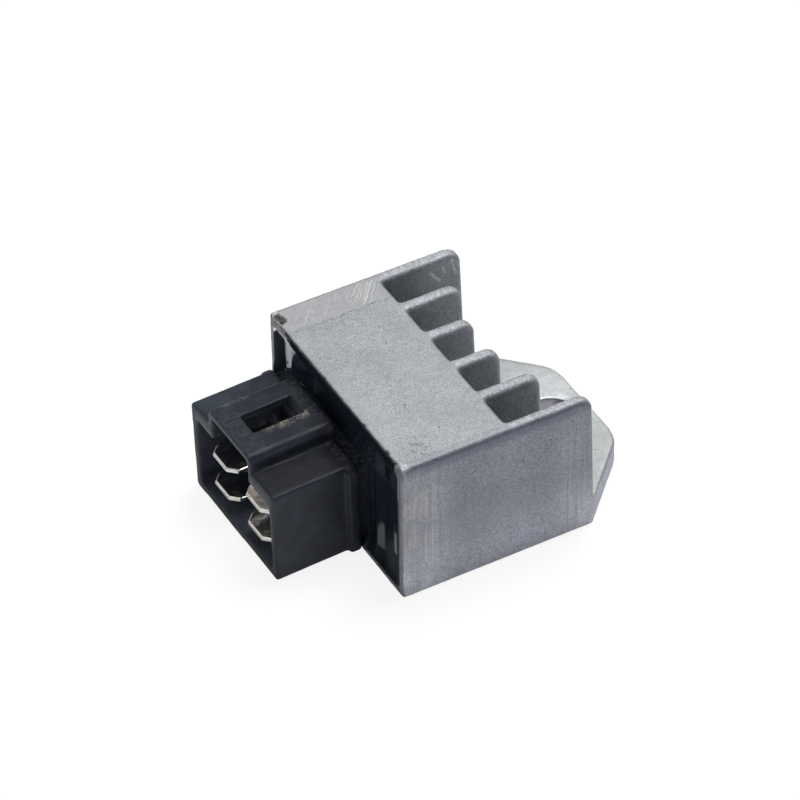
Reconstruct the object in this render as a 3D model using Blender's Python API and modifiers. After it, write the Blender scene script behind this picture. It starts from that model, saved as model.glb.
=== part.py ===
"""Four-blade voltage regulator rectifier.

A die-cast aluminium heat sink with five slots and a one-bolt mounting tab holds
a potted circuit board. A plug-in connector with four flat blades stands out of
the potting, a little crooked, as it set in the resin.

Metres, +Z up. The connector's mouth faces -X, the mounting tab points to +X and
the part stands on its flat underside at z = 0.
"""

from math import atan2, cos, pi, radians, sin, sqrt, tan

import bmesh
import bpy
from mathutils import Euler, Matrix, Vector

# Gap that is left between pieces that touch
CLEARANCE = 0.0003

# Heat sink casting, lengths counted from its open front plane
HOUSING_WIDTH = 0.0368
HOUSING_HEIGHT = 0.0235
BLOCK_DEPTH = 0.0165
SIDE_WALL = 0.00133
SIDE_WALL_LENGTH = 0.0302
CASTING_EDGE = 0.0004

# Cooling fins, which end on an arc around the bolt head
FIN_COUNT = 4
FIN_PITCH = 0.0071
FIN_THICKNESS = 0.0020
OUTER_FIN_THICKNESS = 0.0017
FIN_ARC_CENTRE = 0.0494
FIN_ARC_RADIUS = 0.0253
FIN_CORNER_RADIUS = 0.0020
FIN_END_LEAN = 0.045

# Mounting tab, which is also the floor under the fins
TAB_THICKNESS = 0.0040
TAB_SHOULDER = 0.0298
TAB_REACH = 0.0398
TAB_CORNER_RADIUS = 0.0050
TAB_SHOULDER_RADIUS = 0.0015
BOLT_HOLE_RADIUS = 0.0033
BOLT_HOLE_TO_TAB_END = 0.0056

# Cavity for the electronics
CAVITY_DEPTH = 0.0130
CAVITY_FLOOR = 0.0010
CAVITY_ROOF = 0.0018
CAVITY_CORNER_RADIUS = 0.0008

# Potting resin
POTTING_RECESS = 0.0006

# Connector shell, in its own frame: mouth at -X, centred on Y and Z
SHELL_WIDTH = 0.0231
SHELL_HEIGHT = 0.0153
SHELL_REACH = 0.0131
SHELL_CORNER_RADIUS = 0.0006
SHELL_SIDE_WALL = 0.0014
SHELL_BOTTOM_WALL = 0.0013
SHELL_TOP_WALL = 0.00235
MOUTH_DEPTH = 0.0096
MOUTH_CORNER_RADIUS = 0.0005
SHELL_EDGE = 0.00025
SHELL_EDGE_ANGLE = radians(60)

# Where the shell sits: gap to the far cavity wall, height of its underside
SHELL_SIDE_GAP = 0.00091
SHELL_UNDERSIDE = 0.00045
SHELL_STANDOFF = 0.00035
SHELL_DROOP = radians(1.375)
SHELL_YAW = radians(0.86)

# Latch bridge on the shell
BRIDGE_WIDTH = 0.01185
BRIDGE_RISE = 0.00255
BRIDGE_OFFSET = 0.00043
BRIDGE_ROOF = 0.0011
BRIDGE_WALL = 0.0010
BRIDGE_EDGE_RADIUS = 0.0007
BRIDGE_PAST_FRONT = 0.0003
WINDOW_LENGTH = 0.0080
WINDOW_WIDTH = 0.00385
WINDOW_OFFSET = 0.00045
WINDOW_FROM_MOUTH = 0.0031

# Plinth at the root of the shell, and the spigot that is cast into the resin
PLINTH_THICKNESS = 0.0016
PLINTH_SIDE_STEP = 0.0006
PLINTH_BOTTOM_STEP = 0.0002
PLINTH_GAP = 0.00027
SPIGOT_INSET = 0.0002
SPIGOT_FLOOR_INSET = 0.00115
SPIGOT_TOP_INSET = 0.00025
SPIGOT_DEPTH = 0.0022

# Blade terminals
BLADE_WIDTH = 0.0063
BLADE_THICKNESS = 0.0008
BLADE_RECESS = 0.0004
BLADE_COLUMN_PITCH = 0.00938
BLADE_ROW_PITCH = 0.00527
BLADE_ROWS_BELOW_CENTRE = 0.001245
BLADE_TIP_CHAMFER = 0.00125
BLADE_TIP_COIN = 0.00025
TAIL_WIDTH = 0.0016
TAIL_PROTRUSION = 0.0008
SHOULDER_SETBACK = 0.0004

# Circuit board, upright behind the connector
BOARD_DISTANCE = 0.0049
BOARD_THICKNESS = 0.0016
BOARD_SIDE_MARGIN = 0.0020
BOARD_FLOOR_MARGIN = 0.0016
BOARD_ROOF_MARGIN = 0.0015

# Thyristors on the cavity's rear wall, with their insulating pads
PAD_THICKNESS = 0.0004
PAD_BORDER = 0.0006
THYRISTOR_WIDTH = 0.0070
THYRISTOR_THICKNESS = 0.0030
THYRISTOR_SIDE_MARGIN = 0.0016
THYRISTOR_ABOVE_FLOOR = 0.0071
THYRISTOR_ROOF_MARGIN = 0.0026
THYRISTOR_LEAD_PITCH = 0.0023
THYRISTOR_LEAD_DROP = 0.0018
THYRISTOR_LEAD_DIAMETER = 0.0008

# Small parts on the board
SMALL_LEAD_DIAMETER = 0.0006
LEAD_OVERHANG = 0.0007
RESISTOR_DIAMETER = 0.0021
ZENER_LENGTH = 0.0040
ZENER_DIAMETER = 0.0018
DIODE_LENGTH = 0.0050
DIODE_DIAMETER = 0.0026
DIODE_SPACING = 0.0060
DIODE_FROM_BOTTOM = 0.0053
SMALL_PART_PITCH = 0.0026
SMALL_PART_FROM_EDGE = 0.0018
SMALL_ROW_MARGIN = 0.0004
SMALL_ROW_GAP = 0.0012
CAPACITOR_DIAMETER = 0.0048
CAPACITOR_LENGTH = 0.0054
CAPACITOR_FROM_TOP = 0.0030
CAPACITOR_LEAD_PITCH = 0.0020

# Construction
ARC_STEPS = 4
PAST = 0.0010
SMALL = 0.00001
MERGE = 1e-7
FLAT_ANGLE = radians(0.5)

# Places that follow from the sizes
HALF_WIDTH = HOUSING_WIDTH / 2
CAVITY_HALF_WIDTH = HALF_WIDTH - SIDE_WALL
CAVITY_TOP = HOUSING_HEIGHT - CAVITY_ROOF
SHELL_CENTRE_Y = CAVITY_HALF_WIDTH - SHELL_SIDE_GAP - SHELL_WIDTH / 2
SHELL_CENTRE_Z = SHELL_UNDERSIDE + SHELL_HEIGHT / 2
BRIDGE_TOP = SHELL_HEIGHT / 2 + BRIDGE_RISE
MOUTH_TOP_X = SHELL_REACH * cos(SHELL_DROOP) + SHELL_HEIGHT / 2 * sin(SHELL_DROOP)
FOREMOST = SHELL_STANDOFF + MOUTH_TOP_X * cos(SHELL_YAW) + SHELL_WIDTH / 2 * sin(SHELL_YAW)
FRONT_X = (FOREMOST - TAB_REACH) / 2
BOLT_X = FRONT_X + TAB_REACH - BOLT_HOLE_TO_TAB_END
REAR_WALL_X = FRONT_X + CAVITY_DEPTH
BOARD_FRONT_X = FRONT_X + BOARD_DISTANCE
BOARD_REAR_X = BOARD_FRONT_X + BOARD_THICKNESS
BOARD_HALF_WIDTH = CAVITY_HALF_WIDTH - BOARD_SIDE_MARGIN
BOARD_BOTTOM = CAVITY_FLOOR + BOARD_FLOOR_MARGIN
BOARD_TOP = CAVITY_TOP - BOARD_ROOF_MARGIN
PAD_X = REAR_WALL_X - CLEARANCE - PAD_THICKNESS
THYRISTOR_REAR_X = PAD_X - CLEARANCE
THYRISTOR_FRONT_X = THYRISTOR_REAR_X - THYRISTOR_THICKNESS
THYRISTOR_BOTTOM = CAVITY_FLOOR + THYRISTOR_ABOVE_FLOOR
THYRISTOR_TOP = CAVITY_TOP - THYRISTOR_ROOF_MARGIN
THYRISTOR_Y = CAVITY_HALF_WIDTH - THYRISTOR_SIDE_MARGIN - PAD_BORDER - THYRISTOR_WIDTH / 2
SMALL_ROW_SPAN = (BOARD_TOP - BOARD_BOTTOM - SMALL_ROW_GAP) / 2 - SMALL_ROW_MARGIN
RESISTOR_LENGTH = SMALL_ROW_SPAN - 2 * LEAD_OVERHANG - SMALL_LEAD_DIAMETER
SHELL_MATRIX = Matrix.Translation(
    (FRONT_X - SHELL_STANDOFF, SHELL_CENTRE_Y, SHELL_CENTRE_Z)
) @ Euler((0, -SHELL_DROOP, SHELL_YAW)).to_matrix().to_4x4()
UPRIGHT = Matrix.Rotation(pi / 2, 4, "X")
FACING_X = Matrix(((0, 0, 1, 0), (1, 0, 0, 0), (0, 1, 0, 0), (0, 0, 0, 1)))


def empty_scene():
    """Clears the file and returns one collection for the part and one for its cutters."""
    for thing in list(bpy.data.objects):
        bpy.data.objects.remove(thing)
    collections = []
    for name in ("regulator_rectifier", "cutters"):
        collection = bpy.data.collections.new(name)
        bpy.context.scene.collection.children.link(collection)
        collections.append(collection)
    return collections


PARTS, CUTTERS = empty_scene()


def material(name, colour, roughness, metallic=0.0):
    made = bpy.data.materials.new(name)
    made.use_nodes = True
    shader = made.node_tree.nodes["Principled BSDF"]
    shader.inputs["Base Color"].default_value = (*colour, 1.0)
    shader.inputs["Roughness"].default_value = roughness
    shader.inputs["Metallic"].default_value = metallic
    return made


CAST_ALUMINIUM = material("cast_aluminium", (0.40, 0.41, 0.42), 0.55, 1.0)
BLACK_RESIN = material("black_potting_resin", (0.012, 0.013, 0.015), 0.12)
BLACK_PLASTIC = material("black_connector_plastic", (0.018, 0.020, 0.024), 0.45)
TINNED_BRASS = material("tinned_brass", (0.72, 0.68, 0.60), 0.25, 1.0)
BOARD_LAMINATE = material("board_laminate", (0.05, 0.16, 0.07), 0.50)
PACKAGE_PLASTIC = material("package_plastic", (0.03, 0.03, 0.03), 0.60)
SILICONE_PAD = material("silicone_pad", (0.45, 0.47, 0.50), 0.80)
GLASS_ORANGE = material("glass_diode_body", (0.50, 0.16, 0.04), 0.20)
RESISTOR_LACQUER = material("resistor_lacquer", (0.55, 0.42, 0.26), 0.50)
CAPACITOR_SLEEVE = material("capacitor_sleeve", (0.03, 0.05, 0.14), 0.40)


def finish_object(name, mesh, collection, finish=None):
    thing = bpy.data.objects.new(name, mesh)
    collection.objects.link(thing)
    if finish:
        mesh.materials.append(finish)
    if collection is CUTTERS:
        thing.hide_render = True
        thing.display_type = "WIRE"
    return thing


def mesh_from(bm, name):
    mesh = bpy.data.meshes.new(name)
    bm.to_mesh(mesh)
    bm.free()
    return mesh


def box(name, low, high, collection, finish=None, matrix=None):
    """A box between two corners, in the row frame or in the frame of a matrix."""
    low, high = Vector(low), Vector(high)
    bm = bmesh.new()
    size = Matrix.Diagonal((*(high - low), 1.0))
    bmesh.ops.create_cube(bm, size=1.0, matrix=Matrix.Translation((low + high) / 2) @ size)
    thing = finish_object(name, mesh_from(bm, name), collection, finish)
    if matrix:
        thing.matrix_world = matrix
    return thing


def rounded_outline(corners, steps=ARC_STEPS):
    """Points along a closed outline whose corners (x, y, radius) are rounded by arcs."""
    points = []
    for i, (x, y, radius) in enumerate(corners):
        corner = Vector((x, y))
        if radius == 0:
            points.append(corner)
            continue
        to_last = (Vector(corners[i - 1][:2]) - corner).normalized()
        to_next = (Vector(corners[(i + 1) % len(corners)][:2]) - corner).normalized()
        half_angle = to_last.angle(to_next) / 2
        centre = corner + (to_last + to_next).normalized() * (radius / sin(half_angle))
        start = corner + to_last * (radius / tan(half_angle)) - centre
        end = corner + to_next * (radius / tan(half_angle)) - centre
        first = atan2(start.y, start.x)
        sweep = (atan2(end.y, end.x) - first + pi) % (2 * pi) - pi
        for step in range(steps + 1):
            angle = first + sweep * step / steps
            points.append(centre + radius * Vector((cos(angle), sin(angle))))
    return points


def plate(name, points, low, high, collection, finish=None, turn=None):
    """A flat outline made thick from low to high along its normal, then turned."""
    curve = bpy.data.curves.new(name, "CURVE")
    curve.dimensions = "2D"
    curve.fill_mode = "BOTH"
    curve.extrude = (high - low) / 2
    spline = curve.splines.new("POLY")
    spline.points.add(len(points) - 1)
    for point, (x, y) in zip(spline.points, points):
        point.co = (x, y, 0, 1)
    spline.use_cyclic_u = True
    source = bpy.data.objects.new(name + "_outline", curve)
    collection.objects.link(source)
    bpy.context.view_layer.update()
    seen = source.evaluated_get(bpy.context.evaluated_depsgraph_get())
    raw = bpy.data.meshes.new_from_object(seen)
    bm = bmesh.new()
    bm.from_mesh(raw)
    bmesh.ops.remove_doubles(bm, verts=bm.verts, dist=MERGE)
    bmesh.ops.dissolve_limit(bm, angle_limit=FLAT_ANGLE, verts=bm.verts, edges=bm.edges)
    bmesh.ops.translate(bm, verts=bm.verts, vec=(0, 0, (low + high) / 2))
    if turn:
        bmesh.ops.transform(bm, matrix=turn, verts=bm.verts)
    bmesh.ops.recalc_face_normals(bm, faces=bm.faces)
    bpy.data.objects.remove(source)
    bpy.data.curves.remove(curve)
    bpy.data.meshes.remove(raw)
    return finish_object(name, mesh_from(bm, name), collection, finish)


def wire_mesh(name, route, diameter):
    """A lead that follows a route, as a closed mesh."""
    curve = bpy.data.curves.new(name, "CURVE")
    curve.dimensions = "3D"
    curve.bevel_depth = diameter / 2
    curve.bevel_resolution = 1
    curve.use_fill_caps = True
    spline = curve.splines.new("POLY")
    spline.points.add(len(route) - 1)
    for point, place in zip(spline.points, route):
        point.co = (*place, 1)
    source = bpy.data.objects.new(name, curve)
    CUTTERS.objects.link(source)
    bpy.context.view_layer.update()
    seen = source.evaluated_get(bpy.context.evaluated_depsgraph_get())
    mesh = bpy.data.meshes.new_from_object(seen)
    bm = bmesh.new()
    bm.from_mesh(mesh)
    bmesh.ops.remove_doubles(bm, verts=bm.verts, dist=MERGE)
    bmesh.ops.recalc_face_normals(bm, faces=bm.faces)
    bm.to_mesh(mesh)
    bm.free()
    bpy.data.objects.remove(source)
    bpy.data.curves.remove(curve)
    return mesh


def round_bar(name, centre, radius, length, axis, collection, finish=None, sides=12):
    """A cylinder centred on a point, along X, Y or Z."""
    turn = {
        "X": Matrix.Rotation(pi / 2, 4, "Y"),
        "Y": Matrix.Rotation(pi / 2, 4, "X"),
        "Z": Matrix.Identity(4),
    }[axis]
    bm = bmesh.new()
    bmesh.ops.create_cone(
        bm,
        cap_ends=True,
        segments=sides,
        radius1=radius,
        radius2=radius,
        depth=length,
        matrix=Matrix.Translation(centre) @ turn,
    )
    return finish_object(name, mesh_from(bm, name), collection, finish)


def boolean(target, other, operation, crossing=False):
    """Joins or cuts with another object. crossing is for one whose shells may cross each other."""
    step = target.modifiers.new(operation.lower() + "_" + other.name, "BOOLEAN")
    step.operation = operation
    step.solver = "EXACT"
    step.use_self = crossing
    step.object = other


def cut(target, *cutters):
    for cutter in cutters:
        boolean(target, cutter, "DIFFERENCE")


def join(target, *others):
    for other in others:
        boolean(target, other, "UNION")


def round_edges(target, width, segments=2, angle=radians(40)):
    step = target.modifiers.new("rounded_edges", "BEVEL")
    step.width = width
    step.segments = segments
    step.limit_method = "ANGLE"
    step.angle_limit = angle


def shade_round(target, angle=radians(35)):
    target.data.shade_smooth()
    target.data.set_sharp_from_angle(angle=angle)


# Heat sink casting


def fin_places():
    """Centre and foot length of each fin, from the near side to the far side."""
    places = []
    for index in range(FIN_COUNT):
        y = (index - (FIN_COUNT - 1) / 2) * FIN_PITCH
        length = FIN_ARC_CENTRE - sqrt(FIN_ARC_RADIUS**2 - y**2)
        places.append((y, length))
    return places


def bay_outline():
    """Plan of everything that is open behind the block: the slots and the space past the fins."""
    beyond = FRONT_X + TAB_REACH + PAST
    outside = HALF_WIDTH + PAST
    inside = HALF_WIDTH - OUTER_FIN_THICKNESS
    root = FRONT_X + BLOCK_DEPTH
    wall_end = FRONT_X + SIDE_WALL_LENGTH
    points = [(beyond, -outside), (wall_end, -outside)]
    points += [(wall_end, -inside), (root, -inside)]
    for y, length in fin_places():
        for x, side in ((root, -1), (FRONT_X + length, -1), (FRONT_X + length, 1), (root, 1)):
            points.append((x, y + side * FIN_THICKNESS / 2))
    points += [(root, inside), (wall_end, inside)]
    points += [(wall_end, outside), (beyond, outside)]
    return points


def end_trim(name, length, y_low, y_high):
    """Cutter that leans a fin's end forward and rounds its upper corner."""
    foot_z = TAB_THICKNESS + CLEARANCE
    rise = HOUSING_HEIGHT - foot_z
    top_x = FRONT_X + length - FIN_END_LEAN * rise
    arc_x = top_x - FIN_CORNER_RADIUS
    arc_z = HOUSING_HEIGHT - FIN_CORNER_RADIUS
    start_z = foot_z - CLEARANCE / 2
    start_x = FRONT_X + length + FIN_END_LEAN * CLEARANCE / 2
    outer_x = FRONT_X + length + PAST
    points = [Vector((start_x, start_z))]
    for step in range(ARC_STEPS + 1):
        angle = pi / 2 * step / ARC_STEPS
        lean = FIN_END_LEAN * FIN_CORNER_RADIUS * (1 - sin(angle))
        x = arc_x + lean + FIN_CORNER_RADIUS * cos(angle)
        points.append(Vector((x, arc_z + FIN_CORNER_RADIUS * sin(angle))))
    # The last chord of the arc runs on past the top face, so that the cut has a clean edge
    points[-1] += (points[-1] - points[-2]) / 2
    points += [
        Vector((points[-1].x, HOUSING_HEIGHT + PAST)),
        Vector((outer_x, HOUSING_HEIGHT + PAST)),
        Vector((outer_x, start_z)),
    ]
    return plate(name, points, -y_high, -y_low, CUTTERS, turn=UPRIGHT)


def heatsink_housing():
    plan = rounded_outline(
        (
            (FRONT_X, -HALF_WIDTH, 0),
            (FRONT_X + TAB_SHOULDER, -HALF_WIDTH, TAB_SHOULDER_RADIUS),
            (
                FRONT_X + TAB_REACH,
                -HALF_WIDTH + TAB_REACH - TAB_SHOULDER,
                TAB_CORNER_RADIUS,
            ),
            (
                FRONT_X + TAB_REACH,
                HALF_WIDTH - TAB_REACH + TAB_SHOULDER,
                TAB_CORNER_RADIUS,
            ),
            (FRONT_X + TAB_SHOULDER, HALF_WIDTH, TAB_SHOULDER_RADIUS),
            (FRONT_X, HALF_WIDTH, 0),
        )
    )
    casting = plate("heatsink_housing", plan, 0, HOUSING_HEIGHT, PARTS, CAST_ALUMINIUM)
    cut(casting, plate("bays", bay_outline(), TAB_THICKNESS, HOUSING_HEIGHT + PAST, CUTTERS))
    for index, (y, length) in enumerate(fin_places()):
        reach = FIN_THICKNESS / 2 + PAST
        cut(casting, end_trim(f"fin_trim_{index}", length, y - reach, y + reach))
    for side in (-1, 1):
        inner = HALF_WIDTH - OUTER_FIN_THICKNESS - PAST
        edges = sorted((side * inner, side * (HALF_WIDTH + PAST)))
        cut(casting, end_trim(f"wall_trim_{side}", SIDE_WALL_LENGTH, *edges))
    opening = rounded_outline(
        (
            (-CAVITY_HALF_WIDTH, CAVITY_FLOOR, CAVITY_CORNER_RADIUS),
            (CAVITY_HALF_WIDTH, CAVITY_FLOOR, CAVITY_CORNER_RADIUS),
            (CAVITY_HALF_WIDTH, CAVITY_TOP, CAVITY_CORNER_RADIUS),
            (-CAVITY_HALF_WIDTH, CAVITY_TOP, CAVITY_CORNER_RADIUS),
        )
    )
    cut(casting, plate("cavity", opening, FRONT_X - PAST, REAR_WALL_X, CUTTERS, turn=FACING_X))
    bolt_centre = (BOLT_X, 0, TAB_THICKNESS / 2)
    cut(
        casting,
        round_bar(
            "bolt_hole",
            bolt_centre,
            BOLT_HOLE_RADIUS,
            TAB_THICKNESS + 2 * PAST,
            "Z",
            CUTTERS,
            sides=24,
        ),
    )
    round_edges(casting, CASTING_EDGE)
    return casting


# Connector


def shell_outline(inset, floor_inset, top_inset, radius):
    """Section of a plain part of the shell, pulled in from its outer faces."""
    half = SHELL_WIDTH / 2 - inset
    bottom = -SHELL_HEIGHT / 2 + floor_inset
    top = SHELL_HEIGHT / 2 - top_inset
    return rounded_outline(
        ((-half, bottom, radius), (half, bottom, radius), (half, top, radius), (-half, top, radius)),
        steps=2,
    )


def connector_shell():
    half = SHELL_WIDTH / 2
    middle = SHELL_HEIGHT / 2
    near = BRIDGE_OFFSET - BRIDGE_WIDTH / 2
    far = BRIDGE_OFFSET + BRIDGE_WIDTH / 2
    section = rounded_outline(
        (
            (-half, -middle, SHELL_CORNER_RADIUS),
            (half, -middle, SHELL_CORNER_RADIUS),
            (half, middle, SHELL_CORNER_RADIUS),
            (far, middle, 0),
            (far, BRIDGE_TOP, BRIDGE_EDGE_RADIUS),
            (near, BRIDGE_TOP, BRIDGE_EDGE_RADIUS),
            (near, middle, 0),
            (-half, middle, SHELL_CORNER_RADIUS),
        ),
        steps=3,
    )
    body = plate("connector_shell", section, -SHELL_REACH, 0, PARTS, BLACK_PLASTIC, FACING_X)
    shift = Matrix.Translation((BRIDGE_PAST_FRONT, 0, 0))
    bridge_back = box(
        "bridge_back",
        (-PLINTH_GAP - PAST, near + BRIDGE_EDGE_RADIUS, 0),
        (0, far - BRIDGE_EDGE_RADIUS, BRIDGE_TOP - CLEARANCE),
        CUTTERS,
        matrix=SHELL_MATRIX @ shift,
    )
    plinth = plate(
        "plinth",
        shell_outline(-PLINTH_SIDE_STEP, -PLINTH_BOTTOM_STEP, SPIGOT_TOP_INSET, SHELL_CORNER_RADIUS),
        -PLINTH_GAP - PLINTH_THICKNESS,
        -PLINTH_GAP,
        CUTTERS,
        turn=FACING_X,
    )
    spigot = plate(
        "spigot",
        shell_outline(SPIGOT_INSET, SPIGOT_FLOOR_INSET, 2 * SPIGOT_TOP_INSET, SHELL_CORNER_RADIUS),
        -PLINTH_GAP - PLINTH_THICKNESS / 2,
        SPIGOT_DEPTH,
        CUTTERS,
        turn=FACING_X,
    )
    behind = box(
        "behind_plinth",
        (-PLINTH_GAP, -half - PAST, -middle - PAST),
        (PAST, half + PAST, middle),
        CUTTERS,
        matrix=SHELL_MATRIX,
    )
    mouth = plate(
        "mouth",
        shell_outline(SHELL_SIDE_WALL, SHELL_BOTTOM_WALL, SHELL_TOP_WALL, MOUTH_CORNER_RADIUS),
        -SHELL_REACH - PAST,
        -SHELL_REACH + MOUTH_DEPTH,
        CUTTERS,
        turn=FACING_X,
    )
    window_end = -SHELL_REACH + WINDOW_FROM_MOUTH + WINDOW_LENGTH
    channel = box(
        "latch_channel",
        (-SHELL_REACH - PAST, near + BRIDGE_WALL, middle - SHELL_TOP_WALL - CLEARANCE),
        (window_end + CLEARANCE, far - BRIDGE_WALL, BRIDGE_TOP - BRIDGE_ROOF),
        CUTTERS,
        matrix=SHELL_MATRIX,
    )
    window_y = BRIDGE_OFFSET + WINDOW_OFFSET
    window = box(
        "latch_window",
        (window_end - WINDOW_LENGTH, window_y - WINDOW_WIDTH / 2, BRIDGE_TOP - 2 * BRIDGE_ROOF),
        (window_end, window_y + WINDOW_WIDTH / 2, BRIDGE_TOP + PAST),
        CUTTERS,
        matrix=SHELL_MATRIX,
    )
    for thing in (body, plinth, spigot, mouth):
        thing.matrix_world = SHELL_MATRIX
    cut(body, behind)
    join(body, bridge_back, plinth, spigot)
    cut(body, mouth, channel, window)
    for name, y, z in blade_places():
        slot = box(
            "slot_for_" + name,
            (
                -SHELL_REACH + MOUTH_DEPTH - PAST,
                y - BLADE_WIDTH / 2 - CLEARANCE,
                z - BLADE_THICKNESS / 2 - CLEARANCE,
            ),
            (
                SPIGOT_DEPTH + PAST,
                y + BLADE_WIDTH / 2 + CLEARANCE,
                z + BLADE_THICKNESS / 2 + CLEARANCE,
            ),
            CUTTERS,
            matrix=SHELL_MATRIX,
        )
        cut(body, slot)
    round_edges(body, SHELL_EDGE, segments=1, angle=SHELL_EDGE_ANGLE)
    return body


def blade_places():
    """Name and place of each blade in the connector's frame."""
    upper = BLADE_ROW_PITCH / 2 - BLADE_ROWS_BELOW_CENTRE
    lower = upper - BLADE_ROW_PITCH
    side = BLADE_COLUMN_PITCH / 2
    return (
        ("blade_upper_far", side, upper),
        ("blade_upper_near", -side, upper),
        ("blade_lower_far", side, lower),
        ("blade_lower_near", -side, lower),
    )


def tail_end():
    """How far the blades' tails reach behind the connector's frame origin."""
    return BOARD_REAR_X + TAIL_PROTRUSION - (FRONT_X - SHELL_STANDOFF)


def blade_terminal(name, y, z):
    tip = -SHELL_REACH + BLADE_RECESS
    half = BLADE_WIDTH / 2
    shoulder = SPIGOT_DEPTH - SHOULDER_SETBACK
    outline = [
        (tip, -half + BLADE_TIP_CHAMFER),
        (tip + BLADE_TIP_CHAMFER, -half),
        (shoulder, -half),
        (shoulder, -TAIL_WIDTH / 2),
        (tail_end(), -TAIL_WIDTH / 2),
        (tail_end(), TAIL_WIDTH / 2),
        (shoulder, TAIL_WIDTH / 2),
        (shoulder, half),
        (tip + BLADE_TIP_CHAMFER, half),
        (tip, half - BLADE_TIP_CHAMFER),
    ]
    blade = plate(name, outline, -BLADE_THICKNESS / 2, BLADE_THICKNESS / 2, PARTS, TINNED_BRASS)
    bm = bmesh.new()
    bm.from_mesh(blade.data)
    tip_edges = [
        edge
        for edge in bm.edges
        if max(vert.co.x for vert in edge.verts) < tip + BLADE_TIP_CHAMFER + SMALL
        and abs(edge.verts[0].co.z - edge.verts[1].co.z) < SMALL
    ]
    bmesh.ops.bevel(bm, geom=tip_edges, offset=BLADE_TIP_COIN, segments=1, affect="EDGES")
    bm.to_mesh(blade.data)
    bm.free()
    blade.matrix_world = SHELL_MATRIX @ Matrix.Translation((0, y, z))
    return blade


# Circuit board and what it carries


def axial_part(name, y, z, side, length, diameter, finish):
    """A body with two leads that bend into the board. side is -1 in front of it, 1 behind it."""
    face = BOARD_FRONT_X if side < 0 else BOARD_REAR_X
    far_face = BOARD_REAR_X if side < 0 else BOARD_FRONT_X
    centre_x = face + side * (CLEARANCE + diameter / 2)
    reach = length / 2 + LEAD_OVERHANG
    route = (
        (far_face, y, z - reach),
        (centre_x, y, z - reach),
        (centre_x, y, z + reach),
        (far_face, y, z + reach),
    )
    leads = wire_mesh(name + "_leads", route, SMALL_LEAD_DIAMETER)
    body = round_bar(name, (centre_x, y, z), diameter / 2, length, "Z", PARTS, finish)
    join(body, finish_object(name + "_leads", leads, CUTTERS))
    shade_round(body)
    pocket = box(
        "pocket_" + name,
        (
            centre_x - diameter / 2 - CLEARANCE,
            y - diameter / 2 - CLEARANCE,
            z - reach - SMALL_LEAD_DIAMETER / 2 - CLEARANCE,
        ),
        (
            centre_x + diameter / 2 + CLEARANCE + SMALL,
            y + diameter / 2 + CLEARANCE,
            z + reach + SMALL_LEAD_DIAMETER / 2 + CLEARANCE,
        ),
        CUTTERS,
    )
    return [(y, z - reach), (y, z + reach)], pocket


def small_parts():
    """Resistors and Zener diodes in front of the board, rectifier diodes behind it."""
    column = -BOARD_HALF_WIDTH + SMALL_PART_FROM_EDGE
    upper = BOARD_TOP - SMALL_ROW_MARGIN - SMALL_ROW_SPAN / 2
    lower = BOARD_BOTTOM + SMALL_ROW_MARGIN + SMALL_ROW_SPAN / 2
    resistor = (-1, RESISTOR_LENGTH, RESISTOR_DIAMETER, RESISTOR_LACQUER)
    zener = (-1, ZENER_LENGTH, ZENER_DIAMETER, GLASS_ORANGE)
    diode = (1, DIODE_LENGTH, DIODE_DIAMETER, PACKAGE_PLASTIC)
    diode_z = BOARD_BOTTOM + DIODE_FROM_BOTTOM
    wanted = (
        ("resistor_1", column, upper, *resistor),
        ("resistor_2", column + SMALL_PART_PITCH, upper, *resistor),
        ("resistor_3", column + 2 * SMALL_PART_PITCH, upper, *resistor),
        ("resistor_4", column, lower, *resistor),
        ("zener_diode_1", column + SMALL_PART_PITCH, lower, *zener),
        ("zener_diode_2", column + 2 * SMALL_PART_PITCH, lower, *zener),
        ("rectifier_diode_1", -DIODE_SPACING / 2, diode_z, *diode),
        ("rectifier_diode_2", DIODE_SPACING / 2, diode_z, *diode),
    )
    holes, pockets = [], []
    for name, y, z, side, length, diameter, finish in wanted:
        found, pocket = axial_part(name, y, z, side, length, diameter, finish)
        holes += [(place, SMALL_LEAD_DIAMETER) for place in found]
        pockets.append(pocket)
    return holes, pockets


def capacitor():
    z = BOARD_TOP - CAPACITOR_FROM_TOP
    start = BOARD_REAR_X + CLEARANCE
    centre = (start + CAPACITOR_LENGTH / 2, 0, z)
    can = round_bar(
        "capacitor", centre, CAPACITOR_DIAMETER / 2, CAPACITOR_LENGTH, "X", PARTS, CAPACITOR_SLEEVE, 16
    )
    holes = []
    for side in (-1, 1):
        y = side * CAPACITOR_LEAD_PITCH / 2
        middle = (BOARD_FRONT_X + start + PAST) / 2
        lead = round_bar(
            f"capacitor_lead_{side}",
            (middle, y, z),
            SMALL_LEAD_DIAMETER / 2,
            start + PAST - BOARD_FRONT_X,
            "X",
            CUTTERS,
            sides=6,
        )
        join(can, lead)
        holes.append(((y, z), SMALL_LEAD_DIAMETER))
    shade_round(can)
    reach = CAPACITOR_DIAMETER / 2 + CLEARANCE
    pocket = box(
        "pocket_capacitor",
        (BOARD_REAR_X, -reach, z - reach),
        (start + CAPACITOR_LENGTH + CLEARANCE, reach, z + reach),
        CUTTERS,
    )
    return holes, [pocket]


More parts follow.
